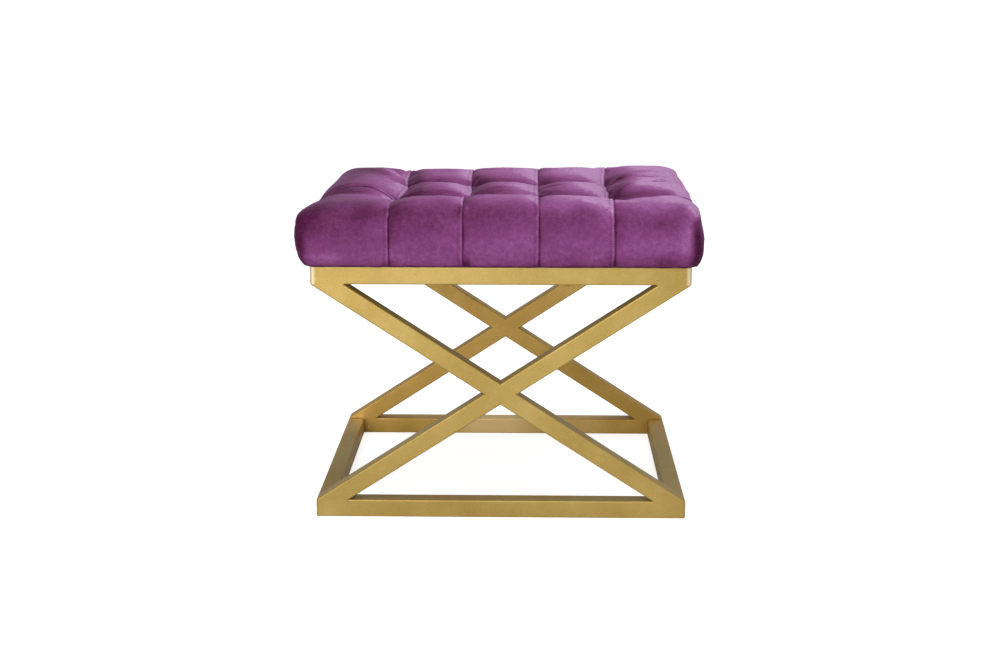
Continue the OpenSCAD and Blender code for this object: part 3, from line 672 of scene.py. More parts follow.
# %% [markdown]
# ## Velvet
# Velvet is a short dense pile. Where one looks into the pile it is dark, and where one sees the sides of
# its fibres it is light. The pile leans, so the same cloth looks dark on one slope and light on the next.
# That lean, together with painted light and shade for how each slope faces and at the tucks, the creases
# and the hem, is worked out from the surface's own direction further down and kept on the piece as an
# attribute named nap. The shader adds clouds, brushed marks and a fine grain to it, and a lilac
# sheen at glancing angles.

# %% Mix the velvet
LUMPS = ((11, 0.22), (40, 0.17), (170, 0.44))  # of each cloud noise: lumps to a metre, and share of the nap


def velvet():
    """Plum to magenta by the nap and its painted light and shade, plus clouds; brushed marks where the
    attribute named marks allows them.
    """
    cloth = new_material("velvet", Roughness=0.8, Sheen_Weight=0.26, Sheen_Roughness=0.30,
                         Sheen_Tint=(0.90, 0.50, 0.90, 1), Specular_IOR_Level=0.08)
    place = object_place(cloth)
    lean_and_shade, marks = (add(cloth, "ShaderNodeAttribute", attribute_name=name).outputs["Fac"]
                   for name in ("nap", "marks"))
    for scale, share in LUMPS:
        cloud = math_node(cloth, "MULTIPLY_ADD", noise(cloth, place, scale, 3, 0.6), share, -share / 2)
        lean_and_shade = math_node(cloth, "ADD", lean_and_shade, cloud)
    brushed = ramp(cloth, noise(cloth, place, 62, 5, 0.62), [(0.50, 0.0), (0.60, 0.30)])
    lean_and_shade = math_node(cloth, "SUBTRACT", lean_and_shade, math_node(cloth, "MULTIPLY", brushed, marks))
    clouds = ramp(cloth, lean_and_shade, [(0.0, (0.062, 0.0070, 0.040)), (0.25, (0.122, 0.0235, 0.088)),
                                (0.55, (0.210, 0.0510, 0.177)), (0.80, (0.300, 0.1000, 0.277)),
                                (1.0, (0.47, 0.245, 0.462))])
    grain = ramp(cloth, noise(cloth, place, 850, 2, 0.8), [(0.3, 0.74), (0.7, 1.26)])
    tone = blend_colours(cloth, clouds, grain, 1.0, "MULTIPLY")
    pile = bump(cloth, noise(cloth, place, 1000, 2, 0.7), 0.0006, 0.5)
    waves = bump(cloth, noise(cloth, place, 45, 3), 0.0010, 0.6, pile)
    return finish_with(cloth, Base_Color=tone, Normal=waves)


VELVET = velvet()

# %% [markdown]
# ## Stuff the cover
# Folds could be drawn by hand, but cloth finds them better. The even net is simulated as a cover: its
# pulled points and its hem are held, its seams are held loosely, it has a little more cloth than it needs,
# and pressure fills it. The swelling itself is then taken off again, because the crowns already stand at
# their height, and only the folds are kept: that is how far each point moved, less the average round it.

# %% Simulate the even net and keep its folds
FOLD_CAP = 0.005
FOLD_SHARE, LEFT_END_SHARE, RIGHT_END_SHARE = 0.75, 0.15, 0.40
PLAIN_ENDS = 0.158  # beyond this the rear seam is slack and hardly shows
HELD_ON_SEAMS, NEAR_SEAM_LINE, NEAR_POINT = 0.35, 0.002, 0.006
EDGE_REACH, EDGE_ROUNDS, FOLD_ROUNDS = 0.024, 6, 60
BEHIND_FRONT, END_FROM = -0.140, 0.150  # the folds are weaker behind this y and beyond this x


def hold_weights(points):
    """One at the hem and at the pulled points, and less along the seams."""
    top = len(even_x) * len(even_y)
    at_x, at_y = np.abs(from_seam(net_flat[:, 0], SEAM_X)), np.abs(from_seam(net_flat[:, 1], SEAM_Y))
    weights = np.zeros(len(points))
    at_y[(net_flat[:, 1] > 0) & (np.abs(net_flat[:, 0]) > PLAIN_ENDS)] = 1.0
    weights[:top] = (HELD_ON_SEAMS * (np.minimum(at_x, at_y) < NEAR_SEAM_LINE))[:top]
    weights[:top][(np.hypot(at_x, at_y) < NEAR_POINT)[:top]] = 1.0
    weights[net_loops[-HEM_RINGS:]] = 1.0
    return weights


def stuffed(points, faces, frames=24):
    """How far each point moves in a cloth simulation with pressure and no gravity."""
    mesh = bpy.data.meshes.new("net")
    mesh.from_pydata(points.tolist(), [], faces.tolist())
    net = linked("net", mesh)
    group = net.vertex_groups.new(name="held")
    weights = hold_weights(points)
    for level in np.unique(weights[weights > 0]):
        group.add(np.nonzero(weights == level)[0].tolist(), float(level), "REPLACE")
    cloth = net.modifiers.new("cloth", "CLOTH")
    settings = cloth.settings
    settings.quality = 6
    settings.mass = 0.2
    settings.tension_stiffness = settings.compression_stiffness = 25
    settings.shear_stiffness = 5
    settings.bending_stiffness = 0.3
    settings.use_pressure = True
    settings.uniform_pressure_force = 4
    settings.shrink_min = -0.03
    settings.vertex_group_mass = group.name
    settings.effector_weights.gravity = 0
    cloth.collision_settings.use_collision = False
    cloth.point_cache.frame_start, cloth.point_cache.frame_end = 1, frames
    for step in range(1, frames + 1):
        bpy.context.scene.frame_set(step)
    apply_modifiers(net)
    bpy.context.scene.frame_set(1)
    way = read_points(net) - points
    bpy.data.objects.remove(net)
    return way


def averaged(values, faces, rounds):
    """Each point's value becomes the mean of its own and its neighbours', again and again."""
    a, b = faces.ravel(), np.roll(faces, -1, 1).ravel()
    count = np.bincount(a, minlength=len(values)) + np.bincount(b, minlength=len(values)) + 2
    for _ in range(rounds):
        total = np.stack([np.bincount(a, values[b, k], len(values))
                          + np.bincount(b, values[a, k], len(values)) for k in range(3)], -1)
        values = (total + 2 * values) / count[:, None]
    return values


def capped(way, limit):
    """Shortens only the ways that are longer than the limit."""
    length = np.linalg.norm(way, axis=1, keepdims=True)
    return way * np.minimum(1, limit / np.maximum(length, 1e-9))


def edge_weights(points):
    """One at the edge between the top and the sides, easing to zero at EDGE_REACH from it."""
    inward = np.minimum(HALF_W - np.abs(net_flat[:, 0]), HALF_D - np.abs(net_flat[:, 1]))
    down = np.zeros(len(points))
    down[net_loops[1:]] = (SIDE_TOP - SIDES[:, 0])[:, None]
    return eased(1 - (inward + down) / EDGE_REACH)


soft_edge = (averaged(net_points, net_faces, EDGE_ROUNDS) - net_points) * edge_weights(net_points)[:, None]
folds = soft_edge
moved = stuffed(net_points + soft_edge, net_faces)
behind = eased((net_flat[:, 1] - BEHIND_FRONT) / 0.04)
left, right = (behind * eased((side * net_flat[:, 0] - END_FROM) / 0.02) for side in (-1, 1))
share = FOLD_SHARE + (LEFT_END_SHARE - FOLD_SHARE) * left + (RIGHT_END_SHARE - FOLD_SHARE) * right
wrinkles = capped(moved - averaged(moved, net_faces, FOLD_ROUNDS), FOLD_CAP)
folds = soft_edge + share[:, None] * wrinkles
print(f"moved {np.linalg.norm(moved, axis=1).max() * 1000:.1f} mm at most, "
          f"folds {np.linalg.norm(folds, axis=1).max() * 1000:.1f} mm at most")

# %% [markdown]
# ## Carry the folds to the finer net
# The cover's own net has extra lines beside each seam. Both nets have the same layout, so the folds pass
# from one to the other by weights along each direction, without any search.

# %% Make the seam-fine net and bring the folds over
NEAR_SEAM = np.array([0.0006, 0.0018, 0.0032, 0.0052, 0.0080])
WIDEST = 0.0043


def fine_lines(half, seams):
    """Lines close together beside each seam and evenly spread between."""
    beside = np.sort(np.concatenate([seams + n for n in np.concatenate([-NEAR_SEAM, NEAR_SEAM])]))
    stops = np.concatenate([[-half], beside, [half]])
    parts = [np.linspace(low, high, max(1, math.ceil((high - low) / WIDEST)) + 1)[:-1]
             for low, high in zip(stops[:-1], stops[1:])]
    return np.concatenate([*parts, [half]])


def weights_between(fine, coarse):
    """A matrix that reads values on coarse lines at the fine ones, by Catmull and Rom's cubic."""
    at = np.interp(fine, coarse, np.arange(len(coarse)))
    low = np.minimum(at.astype(int), len(coarse) - 2)
    t = at - low
    shares = [-t / 2 + t ** 2 - t ** 3 / 2, 1 - 2.5 * t ** 2 + 1.5 * t ** 3,
              t / 2 + 2 * t ** 2 - 1.5 * t ** 3, -t ** 2 / 2 + t ** 3 / 2]
    matrix = np.zeros((len(fine), len(coarse)))
    for step, share in zip((-1, 0, 1, 2), shares):
        np.add.at(matrix, (np.arange(len(fine)), np.clip(low + step, 0, len(coarse) - 1)), share)
    return matrix


def folds_on(lines_x, lines_y, field):
    """The even net's folds read on finer lines: the top by rows and columns, each ring by its four sides."""
    wx, wy = weights_between(lines_x, even_x), weights_between(lines_y, even_y)
    top_count = len(even_x) * len(even_y)
    top = field[:top_count].reshape(len(even_y), len(even_x), 3)
    fine_top = np.einsum("ab,bcd,ec->aed", wy, top, wx).reshape(-1, 3)
    rings = field[top_count:].reshape(RINGS, -1, 3)
    nx, ny = len(even_x) - 1, len(even_y) - 1
    wrap = np.concatenate([rings, rings[:, :1]], 1)
    front, right = wrap[:, :nx + 1], wrap[:, nx:nx + ny + 1]
    rear, left = wrap[:, nx + ny:2 * nx + ny + 1], wrap[:, 2 * nx + ny:]
    sides = [np.einsum("ab,rbd->rad", w, part)[:, :-1]
             for w, part in ((wx, front), (wy, right), (wx[::-1, ::-1], rear), (wy[::-1, ::-1], left))]
    return np.concatenate([fine_top, np.concatenate(sides, 1).reshape(-1, 3)])


fine_x, fine_y = fine_lines(HALF_W, SEAM_X), fine_lines(HALF_D, SEAM_Y)
cover_points, cover_faces, cover_flat, cover_loops = cushion_form(fine_x, fine_y)
cover_points = cover_points + folds_on(fine_x, fine_y, folds)
print("fine net", len(fine_x), "by", len(fine_y), "lines,", len(cover_points), "points")

# %% [markdown]
# ## Seams
# The velvet is one piece, and its biscuits are marked off by pin tucks: along each line a narrow fold is
# stitched down. It shows as a soft ridge with a sharp groove beside it.

# %% Press the tucks into the cover
RIDGE_H, RIDGE_AT, RIDGE_W = 0.0010, -0.0018, 0.0015
GROOVE_H, GROOVE_AT, GROOVE_W = 0.0013, 0.0006, 0.0010
BOWED_DEEPER, SLACK, HEM_FROM, HEM_OVER = 1.4, 0.9, 0.002, 0.014


def diagonals_crossed(points, faces):
    """The cross product of each quad's diagonals: its normal, as long as twice its area."""
    return np.cross(points[faces[:, 2]] - points[faces[:, 0]], points[faces[:, 3]] - points[faces[:, 1]])


def point_normals(points, faces):
    """Each point's normal: the sum of its quads' crossed diagonals, made one long."""
    across = diagonals_crossed(points, faces)
    total = np.stack([np.bincount(faces.ravel(), np.repeat(across[:, k], 4), len(points))
                      for k in range(3)], -1)
    return total / np.maximum(np.linalg.norm(total, axis=1, keepdims=True), 1e-12)


def tuck(way):
    """Ridge on the minus side, groove on the plus side: two bells across the seam."""
    return RIDGE_H * bell(way - RIDGE_AT, RIDGE_W) - GROOVE_H * bell(way - GROOVE_AT, GROOVE_W)


def rear_strength(flat):
    """How much the rear seam shows: little beyond the plain ends' start."""
    return 1 - SLACK * (flat[:, 1] > 0) * eased((np.abs(flat[:, 0]) - PLAIN_ENDS) / 0.02)


def bowed_part(flat):
    """One where the front seam bows back the most, and zero away from there."""
    return (flat[:, 1] < 0) * bow_hump(flat[:, 0])


def tuck_relief(flat, loops):
    """Tucks over the top and down the sides, deeper on the bowed seam, easing away under the board."""
    relief_x = tuck(from_seam(flat[:, 0], SEAM_X))
    relief_y = tuck(-from_seam(flat[:, 1], SEAM_Y))
    relief_y = relief_y * rear_strength(flat) * (1 + BOWED_DEEPER * bowed_part(flat))
    stronger = np.where(np.abs(relief_x) > np.abs(relief_y), relief_x, relief_y)
    on_front = np.where(on_edge(flat[:, 1], HALF_D), relief_x, stronger)
    relief = np.where(on_edge(flat[:, 0], HALF_W), relief_y, on_front)
    relief[loops[1:]] *= eased((SIDES[:, 0] - HEM_FROM) / HEM_OVER)[:, None]
    return relief


# %% [markdown]
# ## The lean of the pile, with painted light and shade
# The pile on this cushion leans down and to the left, and the cover also gets painted light and shade by how
# each part faces. It is painted lighter on slopes that face right and on the lower front, and painted darker
# on the upper front, on slopes that face left and in the pockets beside the tufts. Some places are a shade
# darker or lighter from crushed pile, and others get painted shade and painted highlights along folds,
# creases, the pleat and hollows. Those places are short strokes on top and round spots on the front. A
# picture of the marks could be painted instead, but a few ellipses and lines in metres stay sharp and easy
# to move.

# %% Place the spots of crushed pile and of painted shade and highlight, and the brushed places
# On the front: x, z, half width and half height in millimetres, and the change of the nap: crushed pile,
# and painted shade and highlight at the creases and the pleat
SPOTS = np.array([[-247, 412, 14, 14, -0.14], [212, 415, 22, 7, -0.13], [218, 366, 18, 6, -0.22],
                  [245, 395, 8, 28, 0.16], [263, 397, 4, 20, -0.22], [-225, 371, 22, 7, 0.10],
                  [-45, 362, 4.5, 6, -0.35], [-96, 414, 16, 9, -0.07], [30, 392, 20, 7, 0.06],
                  [118, 372, 24, 7, 0.08]])
# On top: start x and y, end x and y and half width in millimetres, and the change of the nap: mostly
# painted shade and highlight along folds, hollows and the right end's edge
STROKES = np.array([[-152, 92, -178, 198, 11, -0.30], [-154, 82, -204, 186, 9, 0.12],
                    [-250, 60, -200, 190, 38, -0.38], [-256, -52, -214, -64, 13, -0.14],
                    [-224, -172, -160, -166, 22, -0.24], [160, 90, 226, 122, 17, -0.24],
                    [157, -52, 180, 44, 8, -0.22], [162, -66, 250, -56, 12, -0.18],
                    [244, -206, 266, -170, 14, -0.32], [262, -40, 262, 150, 15, -0.24],
                    [176, -194, 244, -188, 20, -0.10]])
# Two places behind the front row that hands have brushed: x, y, and the width of the bell each way
BRUSHED_AT, BRUSHED_X, BRUSHED_Y, BRUSHED_LEAST = ((0.228, 0.020), (-0.183, 0.035)), 0.018, 0.050, 0.10


def strokes_nap(points):
    """Sum of soft strokes: each is full on its line and fades as a bell with the distance to it."""
    total = np.zeros(len(points))
    for x0, y0, x1, y1, width, change in STROKES:
        x, y = points[:, 0] * 1000 - x0, points[:, 1] * 1000 - y0
        way_x, way_y = x1 - x0, y1 - y0
        t = np.clip((x * way_x + y * way_y) / (way_x ** 2 + way_y ** 2), 0, 1)
        total += change * np.exp(-((x - way_x * t) ** 2 + (y - way_y * t) ** 2) / width ** 2)
    return total


def spots_nap(points):
    """Sum of soft ellipses on the front: each is full in its middle and fades as a bell both ways."""
    total = np.zeros(len(points))
    for x, z, half_x, half_z, change in SPOTS:
        off_x, off_z = (points[:, 0] - x / 1000) * 1000 / half_x, (points[:, 2] - z / 1000) * 1000 / half_z
        total += change * np.exp(-(off_x ** 2 + off_z ** 2))
    return total * (points[:, 1] < -HALF_D)


def brushed_marks(points, normals):
    """Most on the two brushed places, and a little everywhere on top."""
    marks = sum(bell(points[:, 0] - x, BRUSHED_X) * bell(points[:, 1] - y, BRUSHED_Y) for x, y in BRUSHED_AT)
    return (BRUSHED_LEAST + (1 - BRUSHED_LEAST) * marks) * normals[:, 2].clip(0, 1)


# %% Work out the nap and its painted light and shade from the surface's direction
# Painted light and shade by direction, partly the pile's lean: darker on the upper front's roll, on the ends
# and on slopes that face left and forward, lighter on crowns, the lower front and slopes that face right
RISE = np.array([-1.0, -0.3, 0.0, 0.15, 0.30, 0.50, 0.70, 0.90, 1.0])  # how far a normal points up
RISE_PAINTED_LIGHT = np.array([0.42, 0.57, 0.54, 0.47, 0.43, 0.375, 0.34, 0.47, 0.68])
FACING_RIGHT, FACING_RIGHT_ON_TOP = 0.2, 1.7
PER_METRE, PER_METRE_ON_TOP, PER_METRE_LOW = 0.30, 0.85, -0.65  # lighter for each metre to the right
LOW_BELOW, RIGHT_HALF, REAR_ROW, SLOPE_BACK = 0.390, 0.07, 0.10, 0.9
LEFT_END_SHADE, RIGHT_END_SHADE = -0.32, -0.64
# Across a tuck: place, width and change of the nap, for the painted highlight on the crest, the painted
# shade in the groove and the painted shade at the foot
TUCK_PAINTED_LIGHT = np.array([[-0.0022, 0.0010, 0.27], [0.0010, 0.0014, -0.42], [-0.0046, 0.0013, -0.13]])
# Painted shade on the bowed seam and at the seams' feet, and a painted contact shadow at the hem
BOWED_SHADE, FOOT_SHADE, FOOT_W, HEM_CONTACT_SHADOW = 0.7, -0.22, 0.006, -0.45


def nap_lean(points, normals):
    """Painted light and shade by how much the surface faces up, partly the pile's lean: lighter where it
    faces right and towards the right end and the rear, painted shade on both ends, plus the strokes on top
    and the spots on the front."""
    x, y, z = points.T
    rise = normals[:, 2].clip(0, 1)
    on_top = eased(rise * 2 - 1)
    low = eased((LOW_BELOW - z) / 0.020)
    lean_and_shade = np.interp(normals[:, 2], RISE, RISE_PAINTED_LIGHT)
    lean_and_shade = lean_and_shade + normals[:, 0] * (FACING_RIGHT + FACING_RIGHT_ON_TOP * rise)
    lean_and_shade = lean_and_shade + x * (PER_METRE + PER_METRE_ON_TOP * on_top + PER_METRE_LOW * low)
    lean_and_shade = lean_and_shade + on_top * (RIGHT_HALF * eased((x - 0.02) / 0.08) + REAR_ROW * eased((y - 0.06) / 0.06))
    behind_front = on_top * eased((y + 0.165) / 0.03)
    lean_and_shade = lean_and_shade + behind_front * SLOPE_BACK * normals[:, 1].clip(-0.3, 0.2)
    lean_and_shade = lean_and_shade + eased(rise * 2) * strokes_nap(points)
    facing_end = eased((np.abs(normals[:, 0]) - 0.18) / 0.4) * eased((0.75 - normals[:, 2]) / 0.4)
    lean_and_shade = lean_and_shade + facing_end * np.where(x < 0, LEFT_END_SHADE, RIGHT_END_SHADE)
    return (lean_and_shade + spots_nap(points)).clip(0, 1)


def seam_nap(points, flat):
    """Painted light at the tucks: a painted highlight on each crest, painted shade in its groove and at its
    foot, and a painted contact shadow at the hem.
    """
    change = np.zeros(len(flat))
    along = rear_strength(flat) * (1 + BOWED_SHADE * bowed_part(flat))
    for way, strength in ((from_seam(flat[:, 0], SEAM_X), 1.0), (-from_seam(flat[:, 1], SEAM_Y), along)):
        change += strength * sum(share * bell(way - at, width) for at, width, share in TUCK_PAINTED_LIGHT)
    foot = bell(from_seam(flat[:, 0], SEAM_X), FOOT_W) * eased((RAIL_TOP + 0.020 - points[:, 2]) / 0.018)
    # Painted contact shadow where the cover meets the rail
    contact_shadow = eased((RAIL_TOP + 0.0040 - points[:, 2]) / 0.0030)
    return change + FOOT_SHADE * foot + HEM_CONTACT_SHADOW * contact_shadow


def keep_values(piece, **values):
    """Stores each named array on the mesh as a value per point."""
    for name, array in values.items():
        piece.data.attributes.new(name, "FLOAT", "POINT").data.foreach_set("value", array.astype(np.float32))


# %% Sew the cover
COVER_T = 0.0012
smooth_normals = point_normals(averaged(cover_points, cover_faces, 10), cover_faces)
relief = tuck_relief(cover_flat, cover_loops)
sewn_points = cover_points + point_normals(cover_points, cover_faces) * relief[:, None]
cover = new_piece("velvet_cover", sewn_points, cover_faces, VELVET)
# The nap value with painted light and shade: by direction, at the tucks and a contact shadow at the hem
nap = (nap_lean(cover_points, smooth_normals) + seam_nap(cover_points, cover_flat)).clip(0, 1)
keep_values(cover, nap=nap, marks=brushed_marks(cover_points, smooth_normals))
thicken(cover, COVER_T, -1)
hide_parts("seat_cover")

# %% [markdown]
# ## Stitches
# Each tuck is held by a row of small stitches beside its groove. The rows follow the cover's own lines of
# points, from the front hem over the top to the rear hem, and from one end to the other.

# %% Lay the stitches along the tucks
STITCH_STEP, STITCH_L, THREAD_R = 0.0034, 0.0024, 0.00030


def seam_runs():
    """Lines of point numbers along each tuck, one line of the net on its ridge's side."""
    nx, ny, top = len(fine_x) - 1, len(fine_y) - 1, len(fine_x) * len(fine_y)
    rim = 2 * (nx + ny)
    down = np.arange(RINGS - HEM_RINGS - 3)
    runs = []

    def ring_at(m):
        """The line down the side below the rim's point m."""
        return top + down * rim + m % rim

    for seam in SEAM_X:
        i = int(np.abs(fine_x - seam + NEAR_SEAM[0]).argmin())
        runs.append(np.concatenate([ring_at(i)[::-1], np.arange(ny + 1) * (nx + 1) + i,
                                    ring_at(2 * nx + ny - i)]))
    for seam in SEAM_Y:
        j = int(np.abs(fine_y - seam - NEAR_SEAM[0]).argmin())
        runs.append(np.concatenate([ring_at(2 * (nx + ny) - j)[::-1], np.arange(nx + 1) + j * (nx + 1),
                                    ring_at(nx + j)]))
    return runs


def spaced(points, step):
    """Places at even steps along a line of points, with the unit direction there."""
    along = np.concatenate([[0], np.cumsum(np.linalg.norm(np.diff(points, axis=0), axis=1))])
    at = np.arange(step, along[-1] - step, step)

    def read(s):
        """The points at the lengths s along the line."""
        return np.stack([np.interp(s, along, points[:, k]) for k in range(3)], -1)

    way = read(at + step / 4) - read(at - step / 4)
    return read(at), way / np.linalg.norm(way, axis=1, keepdims=True)


def capsules(centres, ways, ups, length, r):
    """A small spindle at each centre: rings of six points at four places along it, closed by flat ends."""
    sides, places, widths = 6, np.array([-0.5, -0.34, 0.34, 0.5]), np.array([0.35, 1.0, 1.0, 0.35])
    turn = np.arange(sides) * 2 * math.pi / sides
    across = np.cross(ways, ups)
    ring = (np.cos(turn)[:, None] * across[:, None] + np.sin(turn)[:, None] * ups[:, None])
    body = (centres[:, None, None] + ways[:, None, None] * (places * length)[:, None, None]
            + ring[:, None] * (widths * r)[:, None, None])
    count, step = len(centres), len(places) * sides
    first = np.arange(count)[:, None, None] * step
    row = np.arange(len(places) - 1)[:, None] * sides
    k, n = np.arange(sides), (np.arange(sides) + 1) % sides
    walls = np.stack([first + row + k, first + row + n, first + row + sides + n, first + row + sides + k], -1)
    start, stop = ((0, 3, 2, 1), (0, 5, 4, 3)), ((0, 1, 2, 3), (0, 3, 4, 5))
    caps = [np.stack([first[:, 0, 0] + base + corner for corner in order], -1)
            for base, orders in ((0, start), (step - sides, stop)) for order in orders]
    return body.reshape(-1, 3), np.concatenate([walls.reshape(-1, 4), *caps])


def stitch_thread():
    """Plum thread with a faint twist."""
    thread = new_material("stitch_thread", Roughness=0.5, Sheen_Weight=0.3)
    along = object_place(thread, turn=(0.7, 0.3, 0))
    twist = add(thread, "ShaderNodeTexWave", {"Vector": along, "Scale": 500})
    tone = ramp(thread, twist.outputs["Fac"], [(0.2, (0.20, 0.055, 0.17)), (0.8, (0.36, 0.14, 0.33))])
    return finish_with(thread, Base_Color=tone)


# %% Sew every tuck
sewn_normals = point_normals(sewn_points, cover_faces)
centres, ways, ups = [], [], []
for run in seam_runs():
    place, way = spaced(sewn_points[run], STITCH_STEP)
    nearest = np.array([np.abs(sewn_points[run] - p).sum(1).argmin() for p in place])
    up = sewn_normals[run][nearest]
    up = up - way * (up * way).sum(1, keepdims=True)
    centres.append(place)
    ways.append(way)
    ups.append(up / np.linalg.norm(up, axis=1, keepdims=True))
centres, ways, ups = (np.concatenate(part) for part in (centres, ways, ups))
stitch_points, stitch_faces = capsules(centres + ups * THREAD_R * 0.6, ways, ups, STITCH_L, THREAD_R)
new_piece("seam_stitches", stitch_points, stitch_faces, stitch_thread())
print(len(centres), "stitches")

# %% [markdown]
# ## Filling
# Under the velvet lies fibre wadding, and inside that a block of foam on the board. The wadding follows the
# cover at a small distance, so it is made from the same net, moved inwards, and closed round the foam. The
# foam is cut square and gets slightly rounded edges.

# %% Make the wadding and the foam
SOFT_GAP, CLEAR = 0.0026, 0.0004  # under the velvet, and between the filling's layers
WADDING_FOOT, FOAM_COVER = BOARD_TOP + CLEAR, FOAM_TOP + CLEAR
INWARD = (0.04, 0.12, 0.19)  # rings that close the wadding over the foam
WADDING_CORNER_R = 0.008


def fibre():
    """Off-white fibre: long soft streaks and tufts."""
    wool = new_material("wadding", Roughness=1.0, Sheen_Weight=0.5, Sheen_Tint=(1, 1, 1, 1))
    place = object_place(wool, (1, 2.2, 1))
    tone = ramp(wool, noise(wool, place, 130, 6, 0.7), [(0.3, (0.70, 0.69, 0.66)), (0.7, (0.86, 0.86, 0.84))])
    return finish_with(wool, Base_Color=tone, Normal=bump(wool, noise(wool, place, 260, 6, 0.75), 0.002))


def cut_foam():
    """Cream foam: open cells of a millimetre and less."""
    foam = new_material("foam", Roughness=0.95)
    place = object_place(foam)
    cells = add(foam, "ShaderNodeTexVoronoi", {"Vector": place, "Scale": 900}).outputs["Distance"]
    tone = ramp(foam, cells, [(0.1, (0.52, 0.43, 0.25)), (0.6, (0.80, 0.71, 0.48))])
    return finish_with(foam, Base_Color=tone, Normal=bump(foam, cells, 0.0006))


def outline_ring(half_w, half_d, r, z, like):
    """A rounded rectangle with one point for each point of the net's rim."""
    x, y = round_corners(like[:, 0] * half_w / HALF_W, like[:, 1] * half_d / HALF_D, half_w, half_d, r)
    return np.stack([x, y, np.full(len(x), z)], -1)


def wadding_form(foam_w, foam_d):
    """The net moved inwards down to the foot, then rings in to the foam, up its side and over its top."""
    points = net_points + folds
    inner = points - point_normals(points, net_faces) * SOFT_GAP
    top = len(even_x) * len(even_y)
    kept = int((SIDES[:, 0] > WADDING_FOOT - RAIL_TOP + 0.004).sum())
    rim = net_loops.shape[1]
    foot = inner[net_loops[kept + 2]].copy()
    foot[:, 2] = WADDING_FOOT
    steps = [(0, WADDING_FOOT), (0, FOAM_COVER)] + [(back, FOAM_COVER) for back in INWARD]
    rings = [foot] + [outline_ring(foam_w - back, foam_d - back, WADDING_CORNER_R, z, net_flat[net_loops[0]])
                      for back, z in steps]
    count = top + (kept + len(rings)) * rim
    loops = np.concatenate([net_loops[:1], np.arange(top, count).reshape(-1, rim)])
    quads = net_faces[:(len(even_x) - 1) * (len(even_y) - 1)]
    points = np.concatenate([inner[:top + kept * rim], *rings, [[0, 0, FOAM_COVER]]])
    return points, np.concatenate([quads, loop_walls(loops), closing_fan(loops[-1], count)])


def foam_form(half_w, half_d, low, high, r=0.0025):
    """Rings of a rounded rectangle that turn over each edge by a quarter circle, closed by rings and fans."""
    turn = np.linspace(0, math.pi / 2, 5)
    steps = [(r * (1 - math.sin(a)), low + r * (1 - math.cos(a))) for a in turn]
    steps += [(back, low + high - z) for back, z in steps[::-1]]
    steps = [(0.19, low), (0.10, low)] + steps + [(0.10, high), (0.19, high)]
    rings = [outline_ring(half_w - back, half_d - back, max(0.009 - back, 0.002), z, net_flat[net_loops[0]])
             for back, z in steps]
    count, rim = len(rings), net_loops.shape[1]
    loops = np.arange(count * rim).reshape(count, rim)
    lower, upper = loops[:-1], loops[1:]
    walls = np.stack([lower, np.roll(lower, -1, 1), np.roll(upper, -1, 1), upper], -1).reshape(-1, 4)
    ends = np.array([[0, 0, low], [0, 0, high]])
    floor = closing_fan(loops[0], count * rim)
    roof = closing_fan(loops[-1], count * rim + 1, facing_down=False)
    return np.concatenate([*rings, ends]), np.concatenate([walls, floor, roof])


foam_low, foam_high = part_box("foam_block")
foam_points, foam_faces = foam_form(foam_high.x, foam_high.y, foam_low.z, foam_high.z)
foam = new_piece("cut_foam_block", foam_points, foam_faces, cut_foam())
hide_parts("foam_block")
wadding_points, wadding_faces = wadding_form(foam_high.x + CLEAR, foam_high.y + CLEAR)
wadding = new_piece("fibre_wadding", wadding_points, wadding_faces, fibre())
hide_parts("wadding_layer")


def run_length(points):
    """Length of a line of points."""
    return float(np.linalg.norm(np.diff(points, axis=0), axis=1).sum())


front_to_back, side_to_side = (run_length(sewn_points[seam_runs()[k]]) for k in (1, 4))

# %% [markdown]
# ## Calico and dust cover
# The velvet's hem is sewn to strips of calico, which are stapled to the board. Black felt closes the seat
# from below. Both are flat cloth that is pulled taut, but cloth is never quite flat: the felt hangs a
# little between its staples, and its edge is cut by hand. A taut rectangle is best made as a grid with
# small waves.

# %% Make the cloth under the board
CLOTH_T, RAGGED_CALICO, RAGGED_FELT = 0.0006, 0.0006, 0.0005
STAPLE_IN, STAPLE_EVERY, SAG, SCALLOP, WRINKLE = 0.011, 0.040, 0.0042, 0.0012, 0.0004
dust_low, dust_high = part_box("dust_cover")


def calico():
    """Undyed plain weave: two crossed waves of threads, with a few specks."""
    cloth = new_material("calico", Roughness=0.9, Sheen_Weight=0.2)
    place = object_place(cloth)
    warp, weft = (add(cloth, "ShaderNodeTexWave", {"Vector": place, "Scale": 190, "Distortion": 1.5},
                      bands_direction=way).outputs["Color"] for way in "XY")
    weave = blend_colours(cloth, warp, weft, 0.5)
    tone = ramp(cloth, weave, [(0.25, (0.58, 0.53, 0.42)), (0.75, (0.78, 0.73, 0.60))])
    specks = ramp(cloth, noise(cloth, place, 420, 2), [(0.70, 1.0), (0.76, 0.65)])
    tone = blend_colours(cloth, tone, specks, 1.0, "MULTIPLY")
    return finish_with(cloth, Base_Color=tone, Normal=bump(cloth, weave, 0.0002))


def dust_felt():
    """Black bonded felt: matted fibres pressed with small dots."""
    cloth = new_material("dust_felt", Roughness=0.95, Sheen_Weight=0.15)
    place = object_place(cloth)
    fibres = noise(cloth, object_place(cloth, (1, 3, 1), (0, 0, 0.6)), 500, 5, 0.7)
    cells = add(cloth, "ShaderNodeTexVoronoi", {"Vector": place, "Scale": 420, "Randomness": 0.15})
    pressed = ramp(cloth, cells.outputs["Distance"], [(0.2, 0.55), (0.4, 1.0)])
    tone = ramp(cloth, fibres, [(0.3, (0.010, 0.010, 0.011)), (0.7, (0.026, 0.026, 0.028))])
    tone = blend_colours(cloth, tone, pressed, 1.0, "MULTIPLY")
    return finish_with(cloth, Base_Color=tone, Normal=bump(cloth, pressed, 0.0003))


